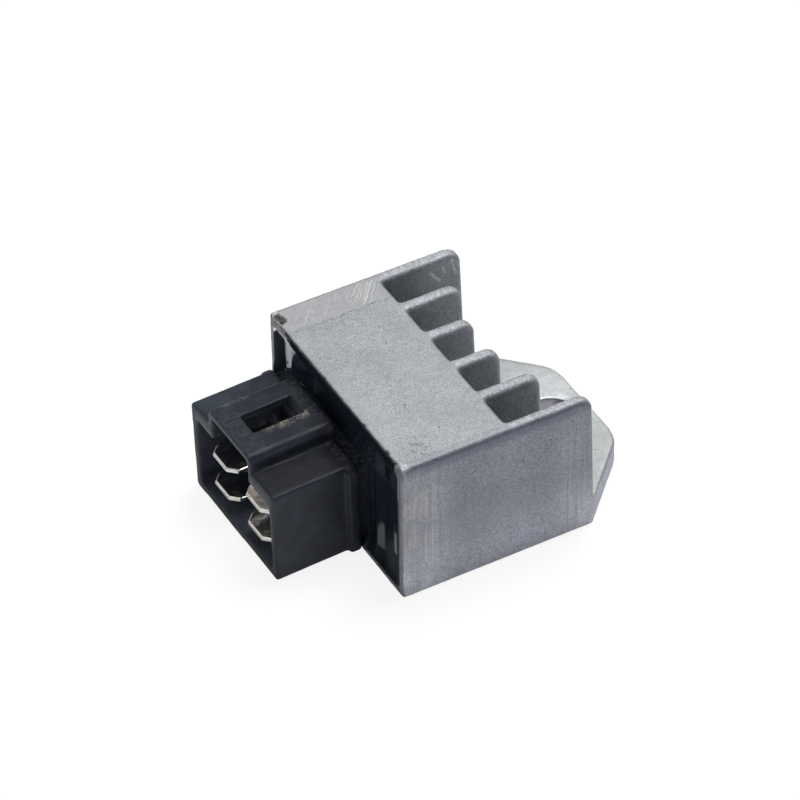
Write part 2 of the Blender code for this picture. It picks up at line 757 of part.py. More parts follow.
def thyristor(index, y):
    """A flat package against its pad, with three leads that bend into the board."""
    half = THYRISTOR_WIDTH / 2
    name = f"thyristor_{index}"
    package = box(
        name,
        (THYRISTOR_FRONT_X, y - half, THYRISTOR_BOTTOM),
        (THYRISTOR_REAR_X, y + half, THYRISTOR_TOP),
        PARTS,
        PACKAGE_PLASTIC,
    )
    lead_x = (THYRISTOR_FRONT_X + THYRISTOR_REAR_X) / 2
    lead_z = THYRISTOR_BOTTOM - THYRISTOR_LEAD_DROP
    holes = []
    for step in (-1, 0, 1):
        lead_y = y + step * THYRISTOR_LEAD_PITCH
        route = (
            (BOARD_FRONT_X, lead_y, lead_z),
            (lead_x, lead_y, lead_z),
            (lead_x, lead_y, THYRISTOR_BOTTOM + PAST),
        )
        lead_name = f"{name}_lead_{step}"
        lead = finish_object(
            lead_name, wire_mesh(lead_name, route, THYRISTOR_LEAD_DIAMETER), CUTTERS
        )
        join(package, lead)
        holes.append(((lead_y, lead_z), THYRISTOR_LEAD_DIAMETER))
    reach = half + CLEARANCE
    lead_reach = THYRISTOR_LEAD_DIAMETER / 2 + CLEARANCE
    lead_side = THYRISTOR_LEAD_PITCH + lead_reach
    beyond = REAR_WALL_X + PAST
    package_pocket = box(
        "pocket_" + name,
        (THYRISTOR_FRONT_X - CLEARANCE, y - reach, THYRISTOR_BOTTOM - CLEARANCE),
        (beyond, y + reach, THYRISTOR_TOP + CLEARANCE),
        CUTTERS,
    )
    lead_pocket = box(
        "pocket_leads_" + name,
        (BOARD_REAR_X, y - lead_side, lead_z - lead_reach),
        (lead_x + lead_reach, y + lead_side, THYRISTOR_BOTTOM),
        CUTTERS,
    )
    border = half + PAD_BORDER
    pad_bottom = THYRISTOR_BOTTOM - PAD_BORDER
    pad_top = THYRISTOR_TOP + PAD_BORDER
    box(
        f"insulating_pad_{index}",
        (PAD_X, y - border, pad_bottom),
        (PAD_X + PAD_THICKNESS, y + border, pad_top),
        PARTS,
        SILICONE_PAD,
    )
    pad_pocket = box(
        f"pocket_pad_{index}",
        (PAD_X - CLEARANCE, y - border - CLEARANCE, pad_bottom - CLEARANCE),
        (beyond, y + border + CLEARANCE, pad_top + CLEARANCE),
        CUTTERS,
    )
    return holes, [package_pocket, lead_pocket, pad_pocket]


def lead_holes(holes):
    """One cutter with a round drill for each lead that enters the board."""
    bm = bmesh.new()
    middle = (BOARD_FRONT_X + BOARD_REAR_X) / 2
    for (y, z), diameter in holes:
        bmesh.ops.create_cone(
            bm,
            cap_ends=True,
            segments=8,
            radius1=diameter / 2 + CLEARANCE,
            radius2=diameter / 2 + CLEARANCE,
            depth=BOARD_THICKNESS + 2 * PAST,
            matrix=Matrix.Translation((middle, y, z)) @ Matrix.Rotation(pi / 2, 4, "Y"),
        )
    return finish_object("lead_holes", mesh_from(bm, "lead_holes"), CUTTERS)


def tail_clearance(name, y, z, start):
    """Cutter around a blade's tail, from a place in the connector's frame backwards."""
    reach_y = TAIL_WIDTH / 2 + CLEARANCE
    reach_z = BLADE_THICKNESS / 2 + CLEARANCE
    return box(
        name,
        (start, y - reach_y, z - reach_z),
        (tail_end() + CLEARANCE, y + reach_y, z + reach_z),
        CUTTERS,
        matrix=SHELL_MATRIX,
    )


def circuit_board(holes):
    board = box(
        "circuit_board",
        (BOARD_FRONT_X, -BOARD_HALF_WIDTH, BOARD_BOTTOM),
        (BOARD_REAR_X, BOARD_HALF_WIDTH, BOARD_TOP),
        PARTS,
        BOARD_LAMINATE,
    )
    boolean(board, lead_holes(holes), "DIFFERENCE", crossing=True)
    tails = []
    for name, y, z in blade_places():
        tails.append(tail_clearance("tail_" + name, y, z, SPIGOT_DEPTH - SHOULDER_SETBACK))
    cut(board, *tails)
    return tails


# Potting resin


def potting_compound(pockets, tails):
    resin = box(
        "potting_compound",
        (FRONT_X + POTTING_RECESS, -CAVITY_HALF_WIDTH + CLEARANCE, CAVITY_FLOOR + CLEARANCE),
        (REAR_WALL_X - CLEARANCE, CAVITY_HALF_WIDTH - CLEARANCE, CAVITY_TOP - CLEARANCE),
        PARTS,
        BLACK_RESIN,
    )
    round_edges(resin, CAVITY_CORNER_RADIUS, segments=1)
    board_pocket = box(
        "pocket_board",
        (BOARD_FRONT_X - CLEARANCE, -BOARD_HALF_WIDTH - CLEARANCE, BOARD_BOTTOM - CLEARANCE),
        (BOARD_REAR_X + CLEARANCE, BOARD_HALF_WIDTH + CLEARANCE, BOARD_TOP + CLEARANCE),
        CUTTERS,
    )
    spigot_pocket = plate(
        "pocket_spigot",
        shell_outline(
            SPIGOT_INSET - CLEARANCE,
            SPIGOT_FLOOR_INSET - CLEARANCE,
            2 * SPIGOT_TOP_INSET - CLEARANCE,
            SHELL_CORNER_RADIUS,
        ),
        -PLINTH_GAP,
        SPIGOT_DEPTH + CLEARANCE,
        CUTTERS,
        turn=FACING_X,
    )
    spigot_pocket.matrix_world = SHELL_MATRIX
    cut(resin, board_pocket, spigot_pocket, *tails, *pockets)
    return resin


def build():
    heatsink_housing()
    connector_shell()
    for name, y, z in blade_places():
        blade_terminal(name, y, z)
    holes, pockets = small_parts()
    more_holes, more_pockets = capacitor()
    holes += more_holes
    pockets += more_pockets
    for index, side in ((1, -1), (2, 1)):
        more_holes, more_pockets = thyristor(index, side * THYRISTOR_Y)
        holes += more_holes
        pockets += more_pockets
    tails = circuit_board(holes)
    potting_compound(pockets, tails)


build()
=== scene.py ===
"""Looks of the voltage regulator rectifier.

The casting and the connector are finely meshed from their solids, then worn, chipped
and rounded as the real ones are. The resin gets its meniscus. Named lengths and arrays
of points are in millimetres. Blender's own data, the camera and the lamps are in metres.
"""

from math import radians

import bmesh
import bpy
import numpy as np
from mathutils import Euler, Matrix, Vector, noise


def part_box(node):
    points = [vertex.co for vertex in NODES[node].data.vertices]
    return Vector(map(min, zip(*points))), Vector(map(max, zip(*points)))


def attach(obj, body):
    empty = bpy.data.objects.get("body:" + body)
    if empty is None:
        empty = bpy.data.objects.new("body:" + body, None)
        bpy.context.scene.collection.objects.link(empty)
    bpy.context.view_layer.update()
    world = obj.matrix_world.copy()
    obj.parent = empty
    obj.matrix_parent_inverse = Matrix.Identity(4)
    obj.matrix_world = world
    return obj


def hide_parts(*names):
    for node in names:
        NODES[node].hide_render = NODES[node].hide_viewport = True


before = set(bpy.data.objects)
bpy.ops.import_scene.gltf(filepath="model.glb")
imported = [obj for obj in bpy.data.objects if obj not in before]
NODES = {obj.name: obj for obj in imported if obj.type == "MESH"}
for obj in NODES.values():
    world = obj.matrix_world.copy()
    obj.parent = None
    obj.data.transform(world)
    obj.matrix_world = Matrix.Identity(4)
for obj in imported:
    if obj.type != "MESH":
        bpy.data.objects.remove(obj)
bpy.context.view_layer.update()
MM = 1000.0

# Places on the part, in millimetres
HOUSING_LOW, HOUSING_HIGH = (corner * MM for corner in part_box("heatsink_housing"))
FRONT = HOUSING_LOW.x
TOP = HOUSING_HIGH.z
SIDE = HOUSING_HIGH.y
WALL = 1.33
TAB_TOP = 4.0
BOLT_X = FRONT + 34.2
BLOCK_END = FRONT + 16.5
FIN_PITCH = 7.1
FIN_HALF = 1.0
OUTER_FIN = 1.7
FIN_ARC_CENTRE = 49.4
FIN_ARC_RADIUS = 25.3
WALL_REACH = 30.2
END_LEAN = 0.045
END_CORNER = 2.0
CAVITY_SIDE = SIDE - WALL
CAVITY_BOTTOM = 1.0
CAVITY_TOP = TOP - 1.8
CAVITY_REAR = FRONT + 12.7

# The connector's own frame: its root on the front plane, mouth at -X
DROOP = radians(1.375)
YAW = radians(0.86)
SHELL_PLACE = Vector((FRONT - 0.35, 4.61, 8.1))
SHELL_TURN = Euler((0, -DROOP, YAW)).to_matrix()
SHELL_HALF_WIDTH = 11.55
SHELL_HALF_HEIGHT = 7.65
SHELL_REACH = 13.1
BRIDGE_TOP = 10.2
BRIDGE_NEAR = -5.495
WINDOW_MIDDLE = (-6.0, 0.88)
WINDOW_HALF = (4.0, 1.925)

# Camera solved on the photograph, in metres
CAMERA_PLACE = (-0.22345, -0.39911, 0.42310)
CAMERA_RIGHT = (0.8712, -0.4909, -0.0094)
CAMERA_UP = (0.3325, 0.5757, 0.7470)
CAMERA_FORWARD = (0.3613, 0.6539, -0.6648)
LENS = 202.5


# Meshes


def add_object(name, mesh):
    made = bpy.data.objects.new(name, mesh)
    bpy.context.scene.collection.objects.link(made)
    return made


def settle(made):
    """Applies an object's modifiers."""
    bpy.context.view_layer.update()
    seen = made.evaluated_get(bpy.context.evaluated_depsgraph_get())
    mesh = bpy.data.meshes.new_from_object(seen)
    old = made.data
    made.modifiers.clear()
    made.data = mesh
    bpy.data.meshes.remove(old)


def finely_meshed(name, node, size):
    """A new object in the shape of a CAD node, in small even faces."""
    made = add_object(name, NODES[node].data.copy())
    step = made.modifiers.new("even_faces", "REMESH")
    step.mode = "VOXEL"
    step.voxel_size = size / MM
    settle(made)
    made.data.materials.clear()
    return made


def points_of(mesh):
    found = np.empty(len(mesh.vertices) * 3, np.float32)
    mesh.vertices.foreach_get("co", found)
    return found.reshape(-1, 3).astype(float) * MM


def put_points(mesh, points):
    mesh.vertices.foreach_set("co", (points / MM).astype(np.float32).ravel())
    mesh.update()


def normals_of(mesh):
    found = np.empty(len(mesh.vertices) * 3, np.float32)
    mesh.vertex_normals.foreach_get("vector", found)
    return found.reshape(-1, 3).astype(float)


def edges_of(mesh):
    found = np.empty(len(mesh.edges) * 2, np.int32)
    mesh.edges.foreach_get("vertices", found)
    return found.reshape(-1, 2)


def mean_of_neighbours(values, edges):
    count = np.bincount(edges.ravel(), minlength=len(values))
    columns = []
    for column in np.atleast_2d(values.T):
        total = np.bincount(edges[:, 0], column[edges[:, 1]], len(values))
        total += np.bincount(edges[:, 1], column[edges[:, 0]], len(values))
        columns.append(total / np.maximum(count, 1))
    return np.array(columns).T.reshape(values.shape)


def relax(points, edges, steps, amount):
    """Moves points towards their neighbours' mean. amount is a number or one per point."""
    for _ in range(steps):
        points = points + amount * (mean_of_neighbours(points, edges) - points)
    return points


def convexity(mesh, size):
    """How much each point stands out of its surroundings: above 0 on outer edges, below in corners."""
    points, edges, normals = points_of(mesh), edges_of(mesh), normals_of(mesh)
    pull = mean_of_neighbours(points, edges) - points
    found = -(pull * normals).sum(1) / size
    for _ in range(3):
        found = 0.5 * found + 0.5 * mean_of_neighbours(found, edges)
    return found


def noise_at(points, scale, seed):
    """Smooth noise from -1 to 1 at each point. scale is the size of its features."""
    shift = Vector((seed, 1.7 * seed, -2.3 * seed))
    return np.array([noise.noise(Vector(p) / scale + shift) for p in points])


def rounded(first, second, radii):
    """How far to move a point against each of two faces, to round the edge where they meet.
    first and second are its heights over the faces, below 0 inside, and radii say how far
    from each face the rounding starts."""
    a, b = first / radii[0] + 1, second / radii[1] + 1
    length = np.hypot(a, b)
    beyond = (a > 0) & (b > 0) & (length > 1)
    loss = np.where(beyond, 1 - 1 / np.maximum(length, 1e-9), 0.0)
    return a * loss * radii[0], b * loss * radii[1]


def round_edge(points, first, second, radii, weight=1.0):
    """Rounds the edge of two faces. Each face is an axis, the sign of its normal and its place."""
    heights = [sign * (points[:, axis] - place) for axis, sign, place in (first, second)]
    result = points.copy()
    for (axis, sign, _), loss in zip((first, second), rounded(*heights, radii)):
        result[:, axis] -= weight * sign * loss
    return result


def round_fin(points, centre, half, reach, near_radii, far_radii):
    """Rounds the edges along the outline of an upright fin, on its -Y side and on its +Y side.
    Radii are how far in from that side, and how far in from the outline, the rounding starts."""
    x, y, z = points.T
    radii = [np.where(y < centre, near, far) for near, far in zip(near_radii, far_radii)]
    a = x - (FRONT + reach - END_LEAN * (z - TAB_TOP) - END_CORNER)
    b = z - (TOP - END_CORNER)
    length = np.maximum(np.hypot(a, b), 1e-9)
    corner = (a > 0) & (b > 0)
    out = np.where(corner, length, np.maximum(a, b)) - END_CORNER
    across = abs(y - centre) - half
    across_loss, out_loss = rounded(across, out, radii)
    here = (across < 0.25) & (z > TAB_TOP + 0.6)
    weight = np.where(here, ramp(x, BLOCK_END - 0.1, BLOCK_END + 0.5), 0.0)
    result = points.copy()
    result[:, 0] -= weight * out_loss * np.where(corner, a / length, a > b)
    result[:, 1] -= weight * across_loss * np.sign(y - centre)
    result[:, 2] -= weight * out_loss * np.where(corner, b / length, a <= b)
    return result


def ramp(values, low, high):
    """0 at low, 1 at high, smooth between them. low may be above high."""
    t = np.clip((values - low) / (high - low), 0, 1)
    return t * t * (3 - 2 * t)


def put_attribute(mesh, name, values):
    kind = "FLOAT" if values.ndim == 1 else "FLOAT_VECTOR"
    attribute = mesh.attributes.new(name, kind, "POINT")
    field = "value" if values.ndim == 1 else "vector"
    attribute.data.foreach_set(field, values.astype(np.float32).ravel())


def shell_local(points):
    """Points in the connector's own frame."""
    turn = np.array(SHELL_TURN)
    return (points - np.array(SHELL_PLACE)) @ turn


def shell_world(points):
    """The way back from the connector's own frame."""
    return points @ np.array(SHELL_TURN).T + np.array(SHELL_PLACE)


# Scratches, each with its start, its end and its width

TOP_SCRATCHES = [
    ((x0, y0, TOP), (x1, y1, TOP), width)
    for x0, y0, x1, y1, width in (
        (2.5, 17.4, -0.8, 13.5, 0.26),
        (2.9, 17.0, 0.0, 13.4, 0.16),
        (2.0, 17.5, -0.2, 14.8, 0.18),
        (1.5, 17.6, -1.1, 14.5, 0.14),
        (1.0, 17.5, -1.6, 14.6, 0.20),
        (0.6, 17.8, -1.5, 15.9, 0.15),
        (-0.5, 17.6, -2.4, 15.6, 0.13),
        (-3.0, 17.5, -3.9, 16.5, 0.13),
        (-5.0, 16.0, -6.8, 14.0, 0.12),
        (-8.0, 16.2, -9.9, 13.8, 0.12),
    )
]
WALL_SCRATCHES = [
    ((x0, SIDE - OUTER_FIN, z0), (x1, SIDE - OUTER_FIN, z1), width)
    for x0, z0, x1, z1, width in (
        (14.8, 22.6, 15.4, 20.1, 0.30),
        (13.3, 22.0, 13.9, 20.6, 0.22),
        (11.4, 21.6, 13.0, 19.6, 0.34),
    )
]

# Shader nodes


class Shader:
    """The node tree of a material or the world, with short calls for the nodes that it needs."""

    def __init__(self, owner, surface="Principled BSDF"):
        owner.use_nodes = True
        self.owner = owner
        self.tree = owner.node_tree
        self.surface = self.tree.nodes[surface]

    def node(self, kind, inputs=(), **settings):
        made = self.tree.nodes.new(kind)
        for key, value in settings.items():
            setattr(made, key, value)
        for key, value in dict(inputs).items():
            self.put(made.inputs[key], value)
        return made

    def put(self, socket, value):
        if isinstance(value, bpy.types.NodeSocket):
            self.tree.links.new(value, socket)
        elif socket.type == "RGBA":
            socket.default_value = (*value, 1.0)
        else:
            socket.default_value = value

    def set(self, **inputs):
        for key, value in inputs.items():
            self.put(self.surface.inputs[key.replace("_", " ")], value)

    def maths(self, operation, a, b=0.0, clamp=False):
        made = self.node("ShaderNodeMath", {0: a, 1: b}, operation=operation, use_clamp=clamp)
        return made.outputs[0]

    def times(self, *values):
        result = values[0]
        for value in values[1:]:
            result = self.maths("MULTIPLY", result, value)
        return result

    def band(self, value, low, high, start=0.0, end=1.0):
        """start where value is low, end where it is high, smooth between."""
        kind = "ShaderNodeMapRange"
        inputs = {"Value": value, "From Min": low, "From Max": high, "To Min": start, "To Max": end}
        return self.node(kind, inputs, interpolation_type="SMOOTHSTEP").outputs[0]

    def vary(self, noise, start, end):
        """The usual range of a noise, made into the range from start to end."""
        return self.band(noise, 0.3, 0.7, start, end)

    def mix(self, factor, a, b):
        made = self.node("ShaderNodeMix", {0: factor}, data_type="RGBA")
        self.put(made.inputs[6], a)
        self.put(made.inputs[7], b)
        return made.outputs[2]

    def tint(self, colour, factor):
        """A colour or a vector times a number."""
        made = self.node("ShaderNodeVectorMath", {0: colour, "Scale": factor}, operation="SCALE")
        return made.outputs[0]

    def vector(self, operation, a, b):
        """Two vectors made into one, or into a number by DISTANCE and DOT_PRODUCT."""
        made = self.node("ShaderNodeVectorMath", {0: a, 1: b}, operation=operation)
        return made.outputs["Value" if operation in ("DISTANCE", "DOT_PRODUCT") else "Vector"]

    def place(self, attribute=None):
        """Position in millimetres: in the part's frame, or as an attribute gives it."""
        if attribute:
            return self.node("ShaderNodeAttribute", attribute_name=attribute).outputs["Vector"]
        return self.tint(self.node("ShaderNodeTexCoord").outputs["Object"], MM)

    def split(self, vector):
        return self.node("ShaderNodeSeparateXYZ", {0: vector}).outputs

    def normal(self):
        return self.split(self.node("ShaderNodeNewGeometry").outputs["Normal"])

    def near(self, place, centre, outer, inner):
        """1 within inner of a centre, 0 beyond outer."""
        return self.band(self.vector("DISTANCE", place, centre), outer, inner)

    def scratches(self, place, segments):
        """1 on thin wavering lines. Each segment is its start, its end and its width."""
        sway = 0.45
        middle = Vector((sway, sway, sway)) / 2
        wander = self.node("ShaderNodeTexNoise", {"Vector": place, "Scale": 0.9, "Detail": 3.0})
        place = self.vector("ADD", place, self.tint(wander.outputs["Color"], sway))
        broken = self.band(self.noise(place, 2.5, 3.0), 0.36, 0.52)
        result = 0.0
        for start, end, width in segments:
            along = Vector(end) - Vector(start)
            away = self.vector("SUBTRACT", place, tuple(Vector(start) + middle))
            far = self.vector("DOT_PRODUCT", away, tuple(along / along.length_squared))
            far = self.maths("MAXIMUM", self.maths("MINIMUM", far, 1.0), 0.0)
            gap = self.vector("DISTANCE", away, self.tint(tuple(along), far))
            result = self.maths("MAXIMUM", result, self.band(gap, width, width * 0.3))
        return self.times(result, self.band(broken, 0.0, 1.0, 0.45, 1.0))

    def value(self, attribute):
        return self.node("ShaderNodeAttribute", attribute_name=attribute).outputs["Fac"]

    def noise(self, place, scale, detail=2.0, roughness=0.5, stretch=None):
        """Noise with features of about 1 / scale millimetres. stretch scales each axis first."""
        if stretch:
            turn = self.node("ShaderNodeMapping", {"Vector": place, "Scale": stretch})
            place = turn.outputs[0]
        inputs = {"Vector": place, "Scale": scale, "Detail": detail, "Roughness": roughness}
        return self.node("ShaderNodeTexNoise", inputs).outputs[0]

    def turned(self, place, angles):
        return self.node("ShaderNodeMapping", {"Vector": place, "Rotation": angles}).outputs[0]

    def bump(self, height, depth, strength=1.0, under=None):
        """depth is in millimetres."""
        inputs = {"Height": height, "Distance": depth / MM, "Strength": strength}
        if under:
            inputs["Normal"] = under
        return self.node("ShaderNodeBump", inputs).outputs[0]


# Materials

METAL = {
    "skin": (0.435, 0.44, 0.46),
    # slot: painted shade, darker and bluer, for the fins' sides deep in the slots
    "slot": (0.325, 0.335, 0.355),
    "ground": (0.475, 0.475, 0.48),
    "groove": (0.16, 0.16, 0.17),
    "scratch": (0.68, 0.68, 0.67),
    "smudge": (0.13, 0.13, 0.135),
    # near_side: the linished side's tone, partly painted shade, darker and bluer than the roof
    "near_side": (0.36, 0.36, 0.405),
    "brushed_front": (0.485, 0.485, 0.51),
    "brushed_rear": (0.365, 0.365, 0.40),
    "warm_reflection": (0.52, 0.42, 0.33),
    "tab": (0.53, 0.55, 0.548),
    "tab_flank": (0.52, 0.53, 0.595),
    "bolt_ring": (0.82, 0.81, 0.80),
    "bore": (0.66, 0.65, 0.72),
    "pit": (0.10, 0.10, 0.11),
    "worn_edge": (0.64, 0.64, 0.64),
    "edge_shade": (0.11, 0.13, 0.20),
    "front": (0.255, 0.25, 0.25),
    "smear": (0.012, 0.013, 0.015),
    "lip": (0.84, 0.86, 0.88),
    "worn_corner_glint": (0.72, 0.72, 0.74),
    "stain": (0.06, 0.055, 0.055),
    "grime": (0.09, 0.08, 0.07),
    "chip": (0.105, 0.084, 0.079),
}
PLASTIC = {
    "black": (0.0115, 0.0150, 0.0245),
    "near_side": (0.047, 0.052, 0.069),
    "brow": (0.047, 0.055, 0.070),
    "far_shelf": (0.028, 0.037, 0.052),
    "mouth": (0.025, 0.030, 0.041),
    "scuff": (0.055, 0.056, 0.060),
    "speck": (0.26, 0.27, 0.30),
    "crust": (0.085, 0.080, 0.078),
    "rubbed": (0.14, 0.14, 0.14),
    # inside: painted light for the inside of the mouth and under the bridge
    "inside": (0.056, 0.062, 0.082),
    "rim": (0.008, 0.008, 0.010),
    "dust": (0.30, 0.27, 0.21),
}


def cast_aluminium():
    s = Shader(bpy.data.materials.new("cast_aluminium"))
    p = s.place()
    x, y, z = s.split(p)[:3]
    nx, ny, nz = s.normal()[:3]
    worn = s.value("worn")
    near = s.times(s.band(ny, -0.6, -0.9), s.band(y, -SIDE + 0.8, -SIDE + 0.3))
    up = s.band(nz, 0.55, 0.85)
    roof = s.times(up, s.band(z, TOP - 1.0, TOP - 0.5))
    tab = s.times(up, s.band(z, 5.0, 4.5))

    # Grain of the blasted skin, in bright and dark specks
    grain = s.noise(p, 4.6, 3.0, 0.65)
    fine = s.noise(p, 9.0, 2.0, 0.6)
    coarse = s.noise(p, 1.3, 2.0, 0.5)
    cloud = s.noise(p, 0.16, 3.0, 0.55)
    level = s.vary(grain, 0.72, 1.28)
    level = s.times(level, s.vary(fine, 0.84, 1.16))
    level = s.times(level, s.vary(cloud, 0.94, 1.06))
    level = s.times(level, s.vary(coarse, 0.94, 1.06))
    colour = s.tint(METAL["skin"], level)
    # Painted shade: the fins' sides deep in the slots are darker and bluer
    slot_shade = s.times(s.band(x, BLOCK_END, BLOCK_END + 0.8), s.band(ny, -0.3, -0.8))
    slot_shade = s.times(slot_shade, s.band(y, 1.2 - SIDE, 1.6 - SIDE))
    colour = s.mix(slot_shade, colour, s.tint(METAL["slot"], level))

    # Ground strip along the far edge of the roof, with its groove and scratches
    bent = s.maths("ADD", y, s.vary(s.noise(p, 0.35, 2.0), -0.3, 0.3))
    ground = s.times(roof, s.band(bent, 13.0, 13.5), s.band(x, BLOCK_END + 0.5, BLOCK_END - 2.5))
    groove = s.times(s.band(bent, 13.0, 13.15), s.band(bent, 13.35, 13.2), roof)
    groove = s.times(groove, s.band(s.noise(p, 0.7), 0.44, 0.56))
    smooth = s.vary(s.noise(p, 1.1, 4.0), 0.93, 1.07)
    polished = s.tint(METAL["ground"], s.times(smooth, s.band(level, 0.7, 1.3, 0.93, 1.07)))
    colour = s.mix(s.times(ground, 0.8), colour, polished)
    colour = s.mix(s.times(groove, 0.55), colour, METAL["groove"])
    marks = s.scratches(p, TOP_SCRATCHES + WALL_SCRATCHES)
    colour = s.mix(s.times(marks, 0.8), colour, METAL["scratch"])

    # Smudges on the roof near its front corner
    smudge = s.times(s.near(p, (-8.6, -15.2, TOP), 4.2, 1.0), s.band(s.noise(p, 1.3, 3.0, 0.7), 0.51, 0.61))
    colour = s.mix(s.times(smudge, 0.58), colour, METAL["smudge"])

    # Linished near side, with streaks that run up and down
    streak = s.noise(p, 1.0, 2.0, 0.5, (8.5, 1.0, 0.09))
    front_end = s.band(x, FRONT + 9.5, FRONT + 3.0)
    rear_end = s.times(s.band(x, 10.5, 12.5), s.band(x, 16.6, 15.0))
    ends = s.times(s.maths("ADD", front_end, rear_end, True), near)
    ends = s.times(ends, s.band(s.noise(p, 0.25, 2.0), 0.35, 0.6, 0.45, 1.0))
    side_level = s.times(s.vary(streak, 0.72, 1.26), s.band(level, 0.7, 1.3, 0.84, 1.16))
    # Partly painted shade: the near side's colour is darker and bluer than the roof's
    colour = s.mix(near, colour, s.tint(METAL["near_side"], level))
    brushed = s.mix(s.band(x, 0.0, 8.0), METAL["brushed_front"], METAL["brushed_rear"])
    colour = s.mix(s.times(ends, 0.8), colour, s.tint(brushed, side_level))
    # Painted light: the near side is lighter towards the bottom, against the shade near the floor
    colour = s.mix(near, colour, s.tint(colour, s.band(z, 13.0, 1.0, 0.93, 1.42)))
    # Painted reflection: a warm tint along the bottom of the near side
    warm_reflection_mask = s.times(s.band(z, 0.45, 0.15), s.band(ny, -0.2, -0.5))
    colour = s.mix(s.times(warm_reflection_mask, 0.7), colour, METAL["warm_reflection"])

    # Tab, smoother and paler, with the bolt's ring of wear
    bolt = (BOLT_X, 0.0, TAB_TOP)
    pale = s.vary(s.noise(p, 0.9, 4.0, 0.6), 0.92, 1.06)
    tab_level = s.times(pale, s.band(level, 0.7, 1.3, 0.93, 1.07))
    colour = s.mix(tab, colour, s.tint(METAL["tab"], tab_level))
    # Painted light: the tab is lighter around the bolt, more so towards +Y, against the shade there
    around = s.times(tab, s.near(p, bolt, 12.0, 7.0), s.band(y, -7.0, -1.0))
    colour = s.mix(around, colour, s.tint(colour, 1.25))
    tab_rim = s.times(s.band(nz, 0.6, 0.3), s.band(z, TAB_TOP + 0.1, TAB_TOP - 0.1), s.band(x, 17.0, 18.0))
    tab_rim = s.times(tab_rim, s.near(p, bolt, 5.0, 5.5))
    colour = s.mix(tab_rim, colour, s.tint(METAL["tab_flank"], s.times(pale, level)))
    ring = s.times(tab, s.near(p, bolt, 5.0, 4.2))
    ring = s.times(ring, s.band(s.noise(p, 0.9, 3.0, 0.6), 0.40, 0.52))
    # Painted light: the bolt hole's wall is pale and lilac against the shade in the hole
    bore = s.times(s.near(p, (BOLT_X, 0.0, TAB_TOP / 2), 4.2, 4.0), s.band(nz, 0.6, 0.3))
    colour = s.mix(s.times(ring, 0.85), colour, METAL["bolt_ring"])
    colour = s.mix(bore, colour, METAL["bore"])

    # Dark pits, and bright metal where edges are worn
    pits = s.band(s.noise(p, 1.7, 1.0, 0.4), 0.755, 0.78)
    colour = s.mix(s.times(pits, 0.75), colour, METAL["pit"])
    broken = s.band(s.noise(p, 2.2, 3.0, 0.65), 0.36, 0.6)
    bright = s.times(s.band(worn, 0.03, 0.10), broken, s.band(nz, 0.7, 0.95))
    colour = s.mix(s.times(bright, 0.35), colour, METAL["worn_edge"])
    # Painted glints: the fins' rounded crests are brighter in flecks
    crest = s.times(s.band(z, TOP - 0.8, TOP - 0.3), s.band(x, BLOCK_END, BLOCK_END + 0.5))
    crest = s.times(crest, s.band(nz, 0.3, 0.7))
    crest_glint = s.vary(s.noise(p, 2.4, 3.0, 0.7), 0.92, 1.48)
    colour = s.mix(crest, colour, s.tint(colour, crest_glint))
    edge = s.times(s.band(y, 1.4 - SIDE, 0.9 - SIDE), s.band(z, TOP - 0.9, TOP - 0.5))
    shade = s.times(s.band(ny, -0.3, -0.8), s.band(y, 1.2 - SIDE, 0.8 - SIDE))
    shade = s.times(shade, s.band(z, TOP - 2.4, TOP - 1.2))
    colour = s.mix(s.times(shade, 0.45), colour, METAL["edge_shade"])

    # Resin smeared over the front of the roof, grime on the lower rim, and the chip's old break
    patch = s.noise(p, 0.8, 3.0, 0.6)
    front = s.band(nx, -0.45, -0.75)
    colour = s.mix(s.times(front, 0.8), colour, s.tint(METAL["front"], level))
    reach = s.maths("ADD", y, s.vary(patch, -1.6, 1.6))
    smear = s.times(front, s.band(z, CAVITY_TOP - 0.6, CAVITY_TOP), s.band(reach, 13.8, 12.6))
    smear = s.times(smear, s.band(z, TOP - 0.02, TOP - 0.3), s.band(patch, 0.66, 0.58))
    smear = s.times(smear, s.band(y, -16.6, -15.8))
    colour = s.mix(s.times(smear, 0.94), colour, METAL["smear"])
    swell = s.times(s.band(y, 10.6, 13.8), s.band(y, 17.4, 15.4))
    over = s.maths("SUBTRACT", z, s.times(swell, 0.36))
    lip = s.times(s.band(nx, -0.2, -0.5), s.band(y, 10.5, 11.0), s.band(y, 17.6, 17.0))
    lip = s.times(lip, s.band(over, CAVITY_TOP + 0.22, CAVITY_TOP + 0.12))
    lip = s.times(lip, s.band(z, CAVITY_TOP - 0.8, CAVITY_TOP - 0.5))
    colour = s.mix(lip, colour, METAL["lip"])
    # Painted highlight on the roof's front corner, partly bright worn metal
    corner = s.times(s.near(p, (FRONT + 0.5, 0.6 - SIDE, TOP - 0.1), 1.2, 0.3), broken)
    colour = s.mix(corner, colour, METAL["worn_corner_glint"])
    strip = s.times(front, s.band(z, CAVITY_TOP, CAVITY_TOP + 0.2))
    strip = s.times(strip, s.band(s.noise(p, 1.2, 3.0, 0.7), 0.42, 0.6))
    colour = s.mix(s.times(strip, 0.5), colour, METAL["stain"])
    grime = s.times(front, s.band(z, 1.3, 1.0), s.band(patch, 0.4, 0.6))
    colour = s.mix(s.times(grime, 0.6), colour, METAL["grime"])
    dirt = s.value("dirt")
    clods = s.band(s.noise(p, 1.4, 3.0), 0.4, 0.6, 0.35, 1.3)
    colour = s.mix(dirt, colour, s.tint(METAL["chip"], clods))

